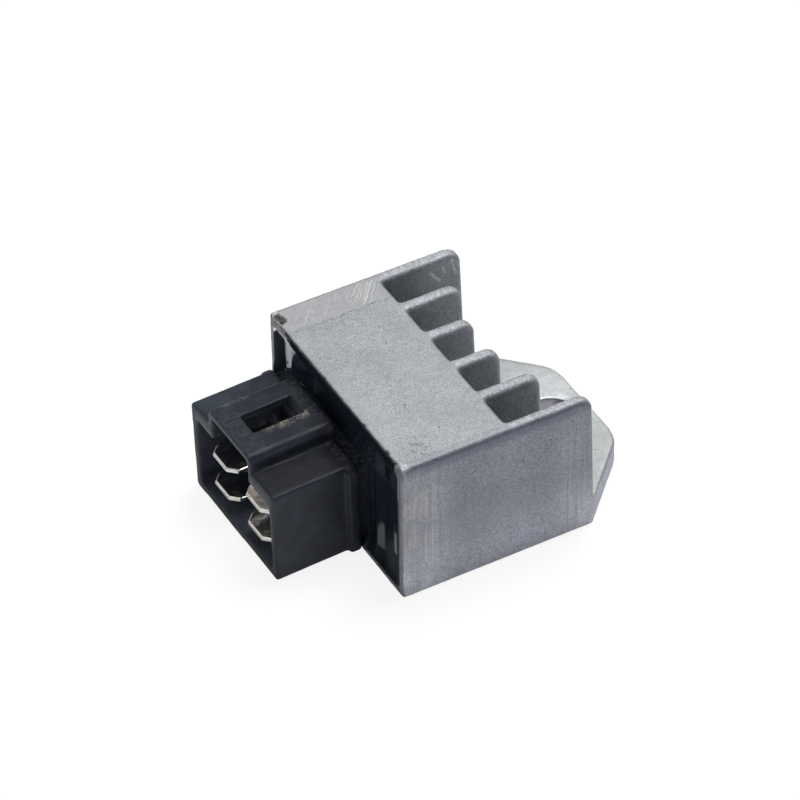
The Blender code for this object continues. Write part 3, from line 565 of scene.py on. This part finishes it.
    rough = s.vary(grain, 0.50, 0.62)
    rough = s.maths("SUBTRACT", rough, s.times(bright, 0.12))
    rough = s.maths("SUBTRACT", rough, s.times(ends, 0.08))
    rough = s.maths("ADD", rough, s.times(dirt, 0.3), True)
    rough = s.maths("SUBTRACT", rough, s.times(lip, 0.32))
    rough = s.maths("ADD", rough, s.times(s.maths("MAXIMUM", crest, edge), 0.12))
    skin = s.bump(grain, 0.05, 0.9)
    skin = s.bump(coarse, 0.05, 0.5, skin)
    lines = s.times(s.maths("SUBTRACT", streak, 0.5), ends)
    skin = s.bump(lines, 0.04, 0.5, skin)
    skin = s.bump(s.maths("SUBTRACT", 0.0, s.maths("ADD", groove, marks)), 0.04, 0.7, skin)
    metal = s.maths("SUBTRACT", 0.75, s.times(s.maths("MAXIMUM", smear, dirt), 0.75))
    metal = s.maths("ADD", metal, s.times(lip, 0.25), True)
    shine = s.band(s.maths("MAXIMUM", smear, dirt), 0.0, 1.0, 0.5, 0.0)
    s.set(Base_Color=colour, Metallic=metal, Roughness=rough, Normal=skin, Specular_IOR_Level=shine)
    return s.owner


def black_plastic():
    s = Shader(bpy.data.materials.new("black_connector_plastic"))
    p = s.place("place")
    x, y, z = s.split(p)[:3]
    worn = s.value("worn")
    cloud = s.noise(p, 0.35, 4.0, 0.6)
    fine = s.noise(p, 5.0, 3.0, 0.6)
    nx, ny, nz = s.normal()[:3]

    # Faces in order: near side, brow over the mouth, low shelf, and the strip at the mouth. The near side
    # and the brow are made lighter as painted light, the low shelf darker as painted shade.
    colour = s.tint(PLASTIC["black"], s.vary(cloud, 0.7, 1.35))
    # Painted light: the near side is lighter, and painted shadow makes it darker towards the root by the
    # casting
    side = s.times(s.band(ny, -0.6, -0.9), s.band(x, -1.0, -9.0, 0.35, 1.0))
    colour = s.mix(side, colour, s.tint(PLASTIC["near_side"], s.vary(cloud, 0.7, 1.3)))
    # Painted light: the brow's faces towards the mouth are lighter
    brow = s.times(s.band(nx, -0.6, -0.9), s.band(z, 7.0, 8.0))
    colour = s.mix(brow, colour, PLASTIC["brow"])
    # Painted shade: the low shelf beside the bridge is a darker copy of the black; towards +Y it takes its
    # own colour
    low = s.times(s.band(nz, 0.6, 0.9), s.band(z, SHELL_HALF_HEIGHT + 0.8, SHELL_HALF_HEIGHT + 0.3))
    far_low = s.tint(PLASTIC["far_shelf"], s.vary(cloud, 0.6, 1.4))
    shelf_colour_and_shade = s.mix(s.band(y, 1.0, 4.0), s.tint(colour, 0.55), far_low)
    colour = s.mix(low, colour, shelf_colour_and_shade)
    scuffed = s.noise(p, 1.3, 4.0, 0.7)
    mouth = s.times(s.band(nz, 0.6, 0.9), s.band(z, BRIDGE_TOP - 0.6, BRIDGE_TOP - 0.3))
    mouth = s.times(mouth, s.band(x, -8.2, -10.8))
    colour = s.mix(mouth, colour, s.tint(PLASTIC["mouth"], s.vary(scuffed, 0.5, 1.5)))

    # Scuffs, specks, the crust where it leaves the resin, and rubbed edges
    scuffs = s.noise(s.turned(p, (0.0, 0.0, radians(28))), 1.0, 4.0, 0.6, (0.35, 2.6, 1.2))
    scuffs = s.times(s.band(scuffs, 0.58, 0.72), s.band(s.noise(p, 0.3, 1.0), 0.4, 0.6))
    colour = s.mix(s.times(scuffs, 0.5), colour, PLASTIC["scuff"])
    specks = s.band(s.noise(p, 2.6, 1.0, 0.3), 0.79, 0.82)
    colour = s.mix(s.times(specks, 0.4), colour, PLASTIC["speck"])
    crust = s.times(s.band(x, -2.2, -0.8), s.band(z, 5.0, 7.0))
    crust = s.times(crust, s.band(s.noise(p, 1.6, 4.0, 0.7), 0.46, 0.62))
    colour = s.mix(s.times(crust, 0.7), colour, PLASTIC["crust"])
    rubbed = s.times(s.band(worn, 0.03, 0.12), s.band(s.noise(p, 1.8, 3.0, 0.75), 0.46, 0.62))
    colour = s.mix(s.times(rubbed, 0.5), colour, PLASTIC["rubbed"])

    # Inside the mouth, painted lighter as painted light, its dark rim, and dust
    lit_inside = s.tint(PLASTIC["inside"], s.vary(cloud, 0.7, 1.3))
    colour = s.mix(s.value("inside"), colour, lit_inside)
    rim = s.times(s.band(x, 0.35 - SHELL_REACH, 0.1 - SHELL_REACH), s.band(z, 5.0, 0.0))
    colour = s.mix(s.times(rim, 0.6), colour, PLASTIC["rim"])
    dust = s.value("dust")
    colour = s.mix(s.times(dust, 0.85), colour, PLASTIC["dust"])

    rough = s.vary(cloud, 0.42, 0.55)
    rough = s.maths("ADD", rough, s.times(scuffs, 0.15), True)
    skin = s.bump(fine, 0.012, 0.5)
    skin = s.bump(s.noise(p, 0.8, 2.0), 0.06, 0.35, skin)
    skin = s.bump(dust, 0.03, 0.6, skin)
    s.set(Base_Color=colour, Roughness=rough, Normal=skin, Specular_IOR_Level=0.3)
    return s.owner


def potting_resin():
    s = Shader(bpy.data.materials.new("black_potting_resin"))
    p = s.place()
    cloud = s.noise(p, 0.4, 3.0, 0.6)
    colour = s.tint((0.017, 0.022, 0.033), s.vary(cloud, 0.8, 1.25))
    film = s.value("film")
    colour = s.mix(film, colour, (0.0125, 0.0155, 0.0225))
    specks = s.band(s.noise(p, 2.6, 1.0, 0.4), 0.74, 0.78)
    colour = s.mix(s.times(specks, 0.4), colour, (0.2, 0.2, 0.19))
    rough = s.band(s.noise(p, 0.7, 3.0), 0.4, 0.7, 0.05, 0.11)
    rough = s.maths("ADD", rough, s.times(film, 0.35), True)
    skin = s.bump(s.noise(p, 0.9, 2.0), 0.012, 0.2)
    shine = s.band(film, 0.0, 1.0, 0.9, 0.0)
    coat = s.band(film, 0.0, 0.5, 1.0, 0.0)
    s.set(Base_Color=colour, Roughness=rough, Normal=skin)
    s.set(Specular_IOR_Level=shine, Specular_Tint=(0.62, 0.82, 1.0), Coat_Weight=coat)
    return s.owner


def tinned_brass():
    """Tin over brass, with a painted bluish white reflection on the cut tips, a painted cream highlight on
    the coined bevels and painted shade in the crease between them. Stained brown on the blade that has run
    hot, its top painted near white as painted light.
    """
    s = Shader(bpy.data.materials.new("tinned_brass"))
    p = s.place()
    _, y, z = s.split(p)[:3]
    nz = s.normal()[2]
    streaks = s.noise(p, 1.0, 4.0, 0.6, (1.0, 7.0, 7.0))
    stain = s.band(s.noise(p, 0.5, 2.0, 0.5), 0.5, 0.75)
    colour = s.tint((0.72, 0.70, 0.66), s.vary(streaks, 0.85, 1.1))
    colour = s.mix(s.times(stain, 0.15), colour, (0.50, 0.40, 0.27))
    # Painted reflection: the cut tips are bluish white
    tip_reflection = s.band(s.maths("ABSOLUTE", nz), 0.42, 0.32)
    colour = s.mix(tip_reflection, colour, s.tint((0.84, 0.90, 0.96), s.band(streaks, 0.3, 0.6, 0.9, 1.0)))
    # Painted highlight: the coined bevels are cream and less metallic
    coined_highlight = s.times(s.band(nz, 0.45, 0.6), s.band(nz, 0.95, 0.85))
    # Painted shade: a dark line in the crease between the tip and the coined bevel
    crease = s.times(s.band(nz, 0.38, 0.48), s.band(nz, 0.62, 0.56))
    colour = s.mix(s.times(coined_highlight, 0.9), colour, (0.95, 0.88, 0.74))
    colour = s.mix(s.times(crease, 0.95), colour, (0.03, 0.02, 0.015))
    # The blade that has run hot is stained, and its top painted near white as painted light against the
    # shade in the mouth
    hot = s.times(s.band(y, 3.6, 3.0), s.band(z, 8.0, 8.6), s.band(nz, 0.8, 0.95))
    hot_stain_and_light = s.tint((1.0, 0.89, 0.77), s.band(s.noise(p, 1.3, 4.0, 0.7), 0.3, 0.6, 0.45, 1.0))
    colour = s.mix(hot, colour, hot_stain_and_light)
    rough = s.maths("ADD", s.band(stain, 0.0, 1.0, 0.16, 0.30), s.times(hot, 0.38), True)
    metal = s.maths("SUBTRACT", 1.0, s.maths("MAXIMUM", hot, s.times(coined_highlight, 0.7)))
    skin = s.bump(streaks, 0.006, 0.3)
    s.set(Base_Color=colour, Metallic=metal, Roughness=rough, Normal=skin)
    return s.owner


def speckled(name, colour, roughness):
    """A plain finish with a little cloud and grain, for the pieces inside the resin."""
    s = Shader(bpy.data.materials.new(name))
    p = s.place()
    grain = s.noise(p, 2.0, 4.0, 0.6)
    tinted = s.tint(colour, s.vary(grain, 0.85, 1.15))
    rough = s.vary(grain, roughness - 0.06, roughness + 0.06)
    skin = s.bump(s.noise(p, 6.0, 2.0), 0.02, 0.5)
    s.set(Base_Color=tinted, Roughness=rough, Normal=skin)
    return s.owner


def board_laminate():
    """Green lacquer over a weave."""
    s = Shader(bpy.data.materials.new("board_laminate"))
    p = s.place()
    weave = s.node("ShaderNodeTexChecker", {"Vector": p, "Scale": 2.4}).outputs["Fac"]
    cloud = s.noise(p, 0.8, 3.0)
    colour = s.tint((0.03, 0.13, 0.05), s.vary(cloud, 0.8, 1.2))
    colour = s.mix(s.times(weave, 0.12), colour, (0.10, 0.22, 0.10))
    s.set(Base_Color=colour, Roughness=0.35, Normal=s.bump(weave, 0.01, 0.5))
    return s.owner


def banded(name, body, stripe, low, high):
    """A lacquered body with one darker stripe between two heights."""
    s = Shader(bpy.data.materials.new(name))
    p = s.place()
    z = s.split(p)[2]
    grain = s.noise(p, 2.0, 3.0)
    inside = s.times(s.band(z, low, low + 0.05), s.band(z, high, high - 0.05))
    colour = s.mix(inside, s.tint(body, s.vary(grain, 0.85, 1.15)), stripe)
    s.set(Base_Color=colour, Roughness=s.vary(grain, 0.3, 0.42), Normal=s.bump(grain, 0.02, 0.4))
    return s.owner


# Casting

CASTING_STEP = 0.25

# Where the rounding of a fin starts, on its -Y side and on its +Y side: how far in from
# that side, and how far in from the outline
FIN_EDGES = ((1.0, 0.8), (0.7, 0.7))
NEAR_WALL_EDGES = ((0.80, 0.80), (0.50, 0.50))
FAR_WALL_EDGES = ((0.85, 0.85), (0.15, 0.15))

# Where the rounding of each other edge starts, as distances from its two faces
NEAR_EDGE = (0.85, 0.85)
FAR_EDGE = (0.15, 0.15)
BOTTOM_EDGE = (0.45, 0.45)
FRONT_EDGE = (0.40, 0.70)
FRONT_FOOT = (1.0, 1.0)
ROOF_FRONT = (0.28, 0.28)

# How far the walls lean out at their top, and the fins' shift along Y by where they stand
NEAR_LEAN = 0.2
FAR_LEAN = 0.12
FIN_SHIFT = ((-14.5, 0.0), (-12.0, 0.25), (-2.0, 0.25), (2.0, 0.10), (5.0, 0.10), (9.0, 0.0))

# The chip at the far front corner: its centre, its half size and its depth
CHIP_PLACE = (FRONT + 0.70, 16.75, TOP + 0.1)
CHIP_SIZE = (0.50, 1.20, 0.9)
CHIP_DEPTH = 0.45

# Dents along the roof's front edge: place along Y, half width and depth
DENTS = (
    (-14.2, 0.7, 0.14),
    (-16.6, 0.5, 0.14),
    (3.0, 0.4, 0.10),
    (-8.0, 0.5, 0.12),
)


def carve(points, centre, radius, depth, push):
    """Pushes the points around a centre in, deepest in the middle, along a direction."""
    away = np.linalg.norm((points - np.array(centre)) / np.array(radius), axis=1)
    amount = depth * (1 - ramp(away, 0.55, 1.0))
    return points + amount[:, None] * np.array(push)


def round_casting(points):
    """Rounds the edges of the fins, the walls and the block."""
    for index in range(-2, 2):
        centre = (index + 0.5) * FIN_PITCH
        reach = FIN_ARC_CENTRE - (FIN_ARC_RADIUS**2 - centre**2) ** 0.5
        points = round_fin(points, centre, FIN_HALF, reach, *FIN_EDGES)
    half = OUTER_FIN / 2
    points = round_fin(points, half - SIDE, half, WALL_REACH, *NEAR_WALL_EDGES)
    points = round_fin(points, SIDE - half, half, WALL_REACH, *FAR_WALL_EDGES)
    front = (0, -1, FRONT)
    roof = (2, 1, TOP)
    underside = (2, -1, 0.0)
    for side, radii in ((-1, NEAR_EDGE), (1, FAR_EDGE)):
        flank = (1, side, side * SIDE)
        points = round_edge(points, flank, roof, radii)
        points = round_edge(points, flank, underside, BOTTOM_EDGE)
        points = round_edge(points, flank, front, FRONT_EDGE)
        points = round_edge(points, flank, front, FRONT_FOOT, ramp(points[:, 2], 1.8, 0.2))
    points = round_edge(points, front, roof, ROOF_FRONT)
    return round_edge(points, front, underside, BOTTOM_EDGE)


def casting():
    made = finely_meshed("heat_sink_casting", "heatsink_housing", CASTING_STEP)
    mesh = made.data
    edges = edges_of(mesh)
    points = relax(points_of(mesh), edges, 2, 0.5)
    points = relax(round_casting(points), edges, 1, 0.5)

    # The tab's upper edge is softer than the rest
    x, y, z = points.T
    tab_edge = ramp(x, 18.5, 19.5) * ramp(z, TAB_TOP + 0.6, TAB_TOP + 0.3) * ramp(z, 0.8, 1.8)
    tab_edge *= ramp(np.hypot(x - BOLT_X, y), 5.2, 6.0)
    points = relax(points, edges, 8, (0.5 * tab_edge)[:, None])

    # The side walls lean out a little towards the top, and some fins stand off their pitch
    x, y, z = points.T
    lean = FAR_LEAN * ramp(y, 17.3, 18.2) - NEAR_LEAN * ramp(y, -15.0, -16.5)
    shift = np.interp(y, *zip(*FIN_SHIFT))
    shift = shift * ramp(x, BLOCK_END - 0.3, BLOCK_END + 0.4) * ramp(z, TAB_TOP + 0.5, TAB_TOP + 4.0)
    points[:, 1] += lean * ramp(z, 3.0, 20.0) + shift
    put_points(mesh, points)
    normals = normals_of(mesh)
    edge = ramp(convexity(mesh, CASTING_STEP), 0.02, 0.12)
    swell = 0.018 * noise_at(points, 3.0, 1.0) + 0.010 * noise_at(points, 0.9, 2.0)
    rough = noise_at(points, 0.6, 3.0) + 0.6 * noise_at(points, 0.3, 4.0)
    points = points + normals * (swell + 0.05 * edge * rough)[:, None]

    # The old break at the far front corner, and dents along the roof's front edge
    away = (points - np.array(CHIP_PLACE)) @ np.array(Matrix.Rotation(radians(8), 3, "Z"))
    away = np.abs(away) / CHIP_SIZE
    depth = CHIP_DEPTH * (1 - ramp(away.max(1) + 0.12 * noise_at(points, 0.6, 5.0), 0.75, 1.0))
    points = points - depth[:, None] * np.array((-0.3, 0.0, 1.0))
    for dent_y, width, deep in DENTS:
        points = carve(points, (FRONT, dent_y, TOP), (0.5, width, 0.5), deep, (0.6, 0.0, -0.8))
    put_points(mesh, points)
    put_attribute(mesh, "worn", convexity(mesh, CASTING_STEP))
    put_attribute(mesh, "dirt", 0.95 * ramp(depth, 0.12, 0.3))
    mesh.shade_smooth()
    return made


# Connector

CONNECTOR_STEP = 0.16
BRIDGE_EDGE = (1.2, 1.2)


def connector():
    made = finely_meshed("connector_housing", "connector_shell", CONNECTOR_STEP)
    mesh = made.data
    edges = edges_of(mesh)
    points = points_of(mesh)
    x, y, z = shell_local(points).T
    window = ramp(abs(x - WINDOW_MIDDLE[0]), WINDOW_HALF[0] + 0.7, WINDOW_HALF[0] + 0.3)
    window *= ramp(abs(y - WINDOW_MIDDLE[1]), WINDOW_HALF[1] + 0.7, WINDOW_HALF[1] + 0.3)
    window *= ramp(z, BRIDGE_TOP - 2.0, BRIDGE_TOP - 1.6)
    points = relax(points, edges, 1, 0.5)
    points = relax(points, edges, 9, (0.5 * (1 - window))[:, None])
    local = shell_local(points)
    local = round_edge(local, (1, -1, BRIDGE_NEAR), (2, 1, BRIDGE_TOP), BRIDGE_EDGE)
    points = shell_world(local)
    put_points(mesh, points)
    normals = normals_of(mesh)
    x, y, z = local.T
    on_top = ramp(z, BRIDGE_TOP - 0.5, BRIDGE_TOP - 0.2)

    # Hairlines left by the mould's insert, from the window's corners to the bridge's ends
    past = ramp(abs(x - WINDOW_MIDDLE[0]), WINDOW_HALF[0] - 0.1, WINDOW_HALF[0] + 0.1)
    line = ramp(abs(abs(y - WINDOW_MIDDLE[1]) - WINDOW_HALF[1]), 0.13, 0.05) * past * on_top
    swell = 0.012 * noise_at(points, 2.5, 6.0) + 0.008 * noise_at(points, 0.8, 6.5)
    specks = ramp(noise_at(points, 0.24, 7.0) + 0.6 * noise_at(points, 1.1, 7.5), -0.2, 0.2)
    edge_y = WINDOW_MIDDLE[1] - WINDOW_HALF[1]
    dust = ramp(y, edge_y - 1.6, edge_y - 0.2) * ramp(y, edge_y + 0.3, edge_y + 0.2)
    dust *= ramp(x, -9.5, -6.0) * ramp(x, -1.4, -2.2)
    far_edge = ramp(y, 5.2, 5.9) * ramp(x, -11.5, -10.5) * ramp(x, -6.5, -8.0)
    dust = specks * on_top * np.maximum(dust, 0.5 * far_edge)
    points = points + normals * (swell + 0.03 * dust - 0.05 * line)[:, None]
    put_points(mesh, points)
    put_attribute(mesh, "worn", convexity(mesh, CONNECTOR_STEP))
    put_attribute(mesh, "place", local)
    put_attribute(mesh, "dust", dust)

    # Inside the mouth and under the bridge, where the colour is painted lighter as painted light
    half_size = (SHELL_HALF_WIDTH, SHELL_HALF_HEIGHT)
    inside = ramp(box_distance(y, z, [-half for half in half_size], half_size, 0.6), 0.9, 1.2)
    under = ramp(z, BRIDGE_TOP - 0.3, BRIDGE_TOP - 0.6) * ramp(z, SHELL_HALF_HEIGHT - 1, SHELL_HALF_HEIGHT)
    under *= ramp(y, BRIDGE_NEAR + 0.5, BRIDGE_NEAR + 0.8) * ramp(y, 6.0, 5.7)
    put_attribute(mesh, "inside", np.maximum(inside, under))
    mesh.shade_smooth()
    return made


# Resin

RESIN_STEP = 0.2

# Depth of the resin behind the front plane along Y, near wall first
RESIN_PROFILE = (
    (-18.0, 0.45),
    (-16.0, 0.55),
    (-15.2, 0.5),
    (-12.2, 0.9),
    (-10.4, 0.45),
    (-8.5, 1.0),
    (-7.0, 1.3),
    (0.0, 1.6),
    (9.0, 1.7),
    (13.4, 0.7),
    (15.1, 0.7),
    (16.9, -0.3),
    (18.0, -0.3),
)

# Clean spots in its dull skin: lowest and highest Y, lowest and highest Z, and how clean
CLEAN_SPOTS = (
    (-12.1, -10.5, 3.6, 8.4, 0.75),
    (-16.0, -15.2, 6.0, 11.5, 1.0),
)


def box_distance(u, v, low, high, radius):
    """Distance into a rounded rectangle: above 0 inside, below 0 outside."""
    centre_u, centre_v = (low[0] + high[0]) / 2, (low[1] + high[1]) / 2
    half_u, half_v = (high[0] - low[0]) / 2 - radius, (high[1] - low[1]) / 2 - radius
    du, dv = abs(u - centre_u) - half_u, abs(v - centre_v) - half_v
    outside = np.hypot(np.maximum(du, 0), np.maximum(dv, 0))
    return radius - outside - np.minimum(np.maximum(du, dv), 0)


def resin_surface():
    """X, Y and Z of the poured surface on a grid, and how dull its skin is there, from 0 to 1.
    The resin climbs at the walls and at the connector, and has run over the rim."""
    across = np.arange(-CAVITY_SIDE - 0.4, CAVITY_SIDE + 0.4 + RESIN_STEP / 2, RESIN_STEP)
    upward = np.arange(CAVITY_BOTTOM - 0.3, TOP - 0.05, RESIN_STEP)
    y, z = np.meshgrid(across, upward, indexing="ij")
    low, high = upward[0], upward[-1]
    z = low + (z - low) * (1 - (high - CAVITY_TOP - 0.5) / (high - low) * ramp(y, 14.2, 15.2))
    flat = np.stack([np.zeros(y.size), y.ravel(), z.ravel()], 1)
    wander = noise_at(flat, 1.6, 8.0).reshape(y.shape)
    fine = noise_at(flat, 0.5, 9.0).reshape(y.shape)
    inside = box_distance(y, z, (-CAVITY_SIDE, CAVITY_BOTTOM), (CAVITY_SIDE, CAVITY_TOP), 0.8)
    shell_y = y - SHELL_PLACE.y
    shell_z = z - SHELL_PLACE.z
    shell_low = (-SHELL_HALF_WIDTH - 0.6, -SHELL_HALF_HEIGHT)
    shell_high = (SHELL_HALF_WIDTH + 0.6, 7.4)
    from_shell = -box_distance(shell_y, shell_z, shell_low, shell_high, 0.6)

    # Depth behind the front plane, less at the cavity's walls, at its floor and at the connector
    profile = np.interp(y, *zip(*RESIN_PROFILE))
    bare = ramp(y, 9.8, 11.0)
    climb = 1 - (1 - 0.6 * bare) * np.exp(-np.maximum(inside, 0) / (0.5 + 0.1 * wander))
    depth = profile * climb * (1 - 0.7 * np.exp(-np.maximum(z - CAVITY_BOTTOM, 0) / 0.8))
    depth -= (0.4 + 0.08 * wander) * np.exp(-np.maximum(from_shell, 0) / 0.5)
    depth += 0.006 * wander * climb

    # The thin film that has run over the rim
    over = ramp(inside, 0.05, -0.12)
    film = ramp(y + 0.9 * wander + 0.4 * fine, 14.0, 12.6) * ramp(z + 0.08 * wander, TOP - 0.12, TOP - 0.3)
    film *= ramp(z, CAVITY_TOP - 0.6, CAVITY_TOP - 0.2) * ramp(y, -16.9, -16.3)
    film *= 1 - bare * ramp(z, CAVITY_TOP + 0.45, CAVITY_TOP + 0.25)
    depth = (1 - over) * depth + over * (0.25 - (0.31 + 0.02 * fine) * film)
    x = FRONT + depth

    # The poured skin is dull near the corner, but for the clean spots, and at the far wall
    dull = ramp(y, -8.8, -9.6) * ramp(z + 0.3 * wander, 18.0, 16.5)
    for low_y, high_y, low_z, high_z, clean in CLEAN_SPOTS:
        dull *= 1 - clean * ramp(box_distance(y, z, (low_y, low_z), (high_y, high_z), 0.2), 0.0, 0.15)
    dull = np.maximum(dull, ramp(y, 15.1, 15.3)) * (1 - over)
    return x, y, z, np.maximum(over * film, 0.85 * dull)


def resin():
    """The poured surface, closed behind by a flat back inside the cavity."""
    x, y, z, dullness = resin_surface()
    bm = bmesh.new()
    rows, columns = y.shape
    grid = [[bm.verts.new(Vector(place) / MM) for place in zip(*row)] for row in zip(x, y, z)]
    for i in range(rows - 1):
        for j in range(columns - 1):
            bm.faces.new((grid[i][j], grid[i][j + 1], grid[i + 1][j + 1], grid[i + 1][j]))

    # The grid's rim, round once, and its partners on the back
    rim = grid[0] + [row[-1] for row in grid[1:]]
    rim += grid[-1][-2::-1] + [row[0] for row in grid[-2:0:-1]]
    back = []
    for vert in rim:
        place_y = max(-CAVITY_SIDE + 0.1, min(CAVITY_SIDE - 0.1, vert.co.y * MM))
        place_z = max(CAVITY_BOTTOM + 0.1, min(CAVITY_TOP - 0.1, vert.co.z * MM))
        back.append(bm.verts.new(Vector((CAVITY_REAR, place_y, place_z)) / MM))
    count = len(rim)
    for i in range(count):
        j = (i + 1) % count
        bm.faces.new((rim[i], rim[j], back[j], back[i]))
    bmesh.ops.remove_doubles(bm, verts=back, dist=1e-7)
    bm.faces.new([v for v in back if v.is_valid])
    bmesh.ops.recalc_face_normals(bm, faces=bm.faces)
    mesh = bpy.data.meshes.new("poured_resin")
    bm.to_mesh(mesh)
    bm.free()
    film = np.zeros(len(mesh.vertices))
    film[: dullness.size] = dullness.ravel()
    put_attribute(mesh, "film", film)
    made = add_object("poured_resin", mesh)
    mesh.shade_smooth()
    mesh.set_sharp_from_angle(angle=radians(60))
    return made


# Stage


def floor_and_light():
    bm = bmesh.new()
    bmesh.ops.create_grid(bm, x_segments=1, y_segments=1, size=4.0)
    mesh = bpy.data.meshes.new("floor")
    bm.to_mesh(mesh)
    bm.free()
    floor = add_object("floor", mesh)
    s = Shader(bpy.data.materials.new("white_floor"))
    rays = s.node("ShaderNodeLightPath").outputs
    mirrored = s.maths("MAXIMUM", rays["Is Glossy Ray"], rays["Is Transmission Ray"])
    own = s.maths("ADD", s.times(rays["Is Camera Ray"], 0.86), s.times(mirrored, 0.2))
    shade = s.mix(rays["Is Camera Ray"], (0.8, 0.8, 0.8), (0.22, 0.22, 0.22))
    s.set(Base_Color=shade, Roughness=0.9, Specular_IOR_Level=0.0)
    s.set(Emission_Color=(1.0, 1.0, 1.0), Emission_Strength=own)
    mesh.materials.append(s.owner)

    # The room is dark and bluish on the camera's side, and brighter above and behind
    world = bpy.data.worlds.new("studio")
    bpy.context.scene.world = world
    w = Shader(world, "Background")
    way = w.node("ShaderNodeTexCoord").outputs["Generated"]
    dark_side = tuple(Vector((0.0, -0.9, 0.35)).normalized())
    facing = w.vector("DOT_PRODUCT", way, dark_side)
    w.set(
        Color=w.mix(w.band(facing, -0.1, 0.8), (0.93, 0.965, 1.0), (0.70, 0.84, 1.0)),
        Strength=w.band(facing, -0.1, 0.8, 0.36, 0.12),
    )

    add_lamp("key", (0.22, 0.10, 0.70), 0.40, 3.4, (1.0, 1.0, 1.0))
    add_lamp("kicker", (-0.45, 0.45, 0.20), 0.15, 0.22, (1.0, 0.98, 0.95))
    add_lamp("fill", (-0.50, -0.15, 0.35), 0.30, 0.45, (1.0, 1.0, 1.0))


def add_lamp(name, place, size, power, colour):
    data = bpy.data.lights.new(name, "AREA")
    data.size = size
    data.energy = power
    data.color = colour
    lamp = bpy.data.objects.new(name, data)
    bpy.context.scene.collection.objects.link(lamp)
    lamp.location = place
    lamp.rotation_euler = (-Vector(place)).to_track_quat("-Z", "Y").to_euler()


def camera():
    data = bpy.data.cameras.new("camera")
    data.lens = LENS
    data.sensor_width = 36.0
    made = bpy.data.objects.new("camera", data)
    bpy.context.scene.collection.objects.link(made)
    right, up, forward = (Vector(v) for v in (CAMERA_RIGHT, CAMERA_UP, CAMERA_FORWARD))
    turn = Matrix((right, up, -forward)).transposed()
    made.matrix_world = Matrix.Translation(CAMERA_PLACE) @ turn.to_4x4()
    bpy.context.scene.camera = made


# Dressing

BLADE_ROUNDING = 0.13


def dress(piece, material, slot, *nodes):
    piece.data.materials.append(material)
    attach(piece, "root")
    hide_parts(*nodes)


def paint(node, material):
    thing = NODES[node]
    thing.data.materials.clear()
    thing.data.materials.append(material)


def soften(blade):
    """Rounds a blade's creases a little."""
    blade.modifiers.new("joined", "WELD").merge_threshold = 0.001 / MM
    crease = blade.modifiers.new("crease", "BEVEL")
    crease.width = BLADE_ROUNDING / MM
    crease.segments = 2
    crease.limit_method = "ANGLE"
    crease.angle_limit = radians(15)


def build():
    camera()
    floor_and_light()
    dress(casting(), cast_aluminium(), "cast_aluminium", "heatsink_housing")
    dress(connector(), black_plastic(), "connector_plastic", "connector_shell")
    dress(resin(), potting_resin(), "potting_resin", "potting_compound")
    brass = tinned_brass()
    for node in ("blade_upper_far", "blade_upper_near", "blade_lower_far", "blade_lower_near"):
        paint(node, brass)
        soften(NODES[node])
    paint("circuit_board", board_laminate())
    package = speckled("package_plastic", (0.03, 0.03, 0.03), 0.55)
    pad = speckled("silicone_pad", (0.45, 0.47, 0.50), 0.8)
    sleeve = speckled("capacitor_sleeve", (0.03, 0.05, 0.14), 0.4)
    lacquer = banded("resistor_lacquer", (0.55, 0.42, 0.26), (0.12, 0.05, 0.02), 15.0, 16.0)
    glass = banded("diode_glass", (0.50, 0.16, 0.04), (0.02, 0.02, 0.02), 7.6, 8.1)
    for index in (1, 2):
        paint(f"thyristor_{index}", package)
        paint(f"rectifier_diode_{index}", package)
        paint(f"insulating_pad_{index}", pad)
        paint(f"zener_diode_{index}", glass)
    for index in (1, 2, 3, 4):
        paint(f"resistor_{index}", lacquer)
    paint("capacitor", sleeve)


build()
bpy.context.scene.view_settings.view_transform = "Standard"
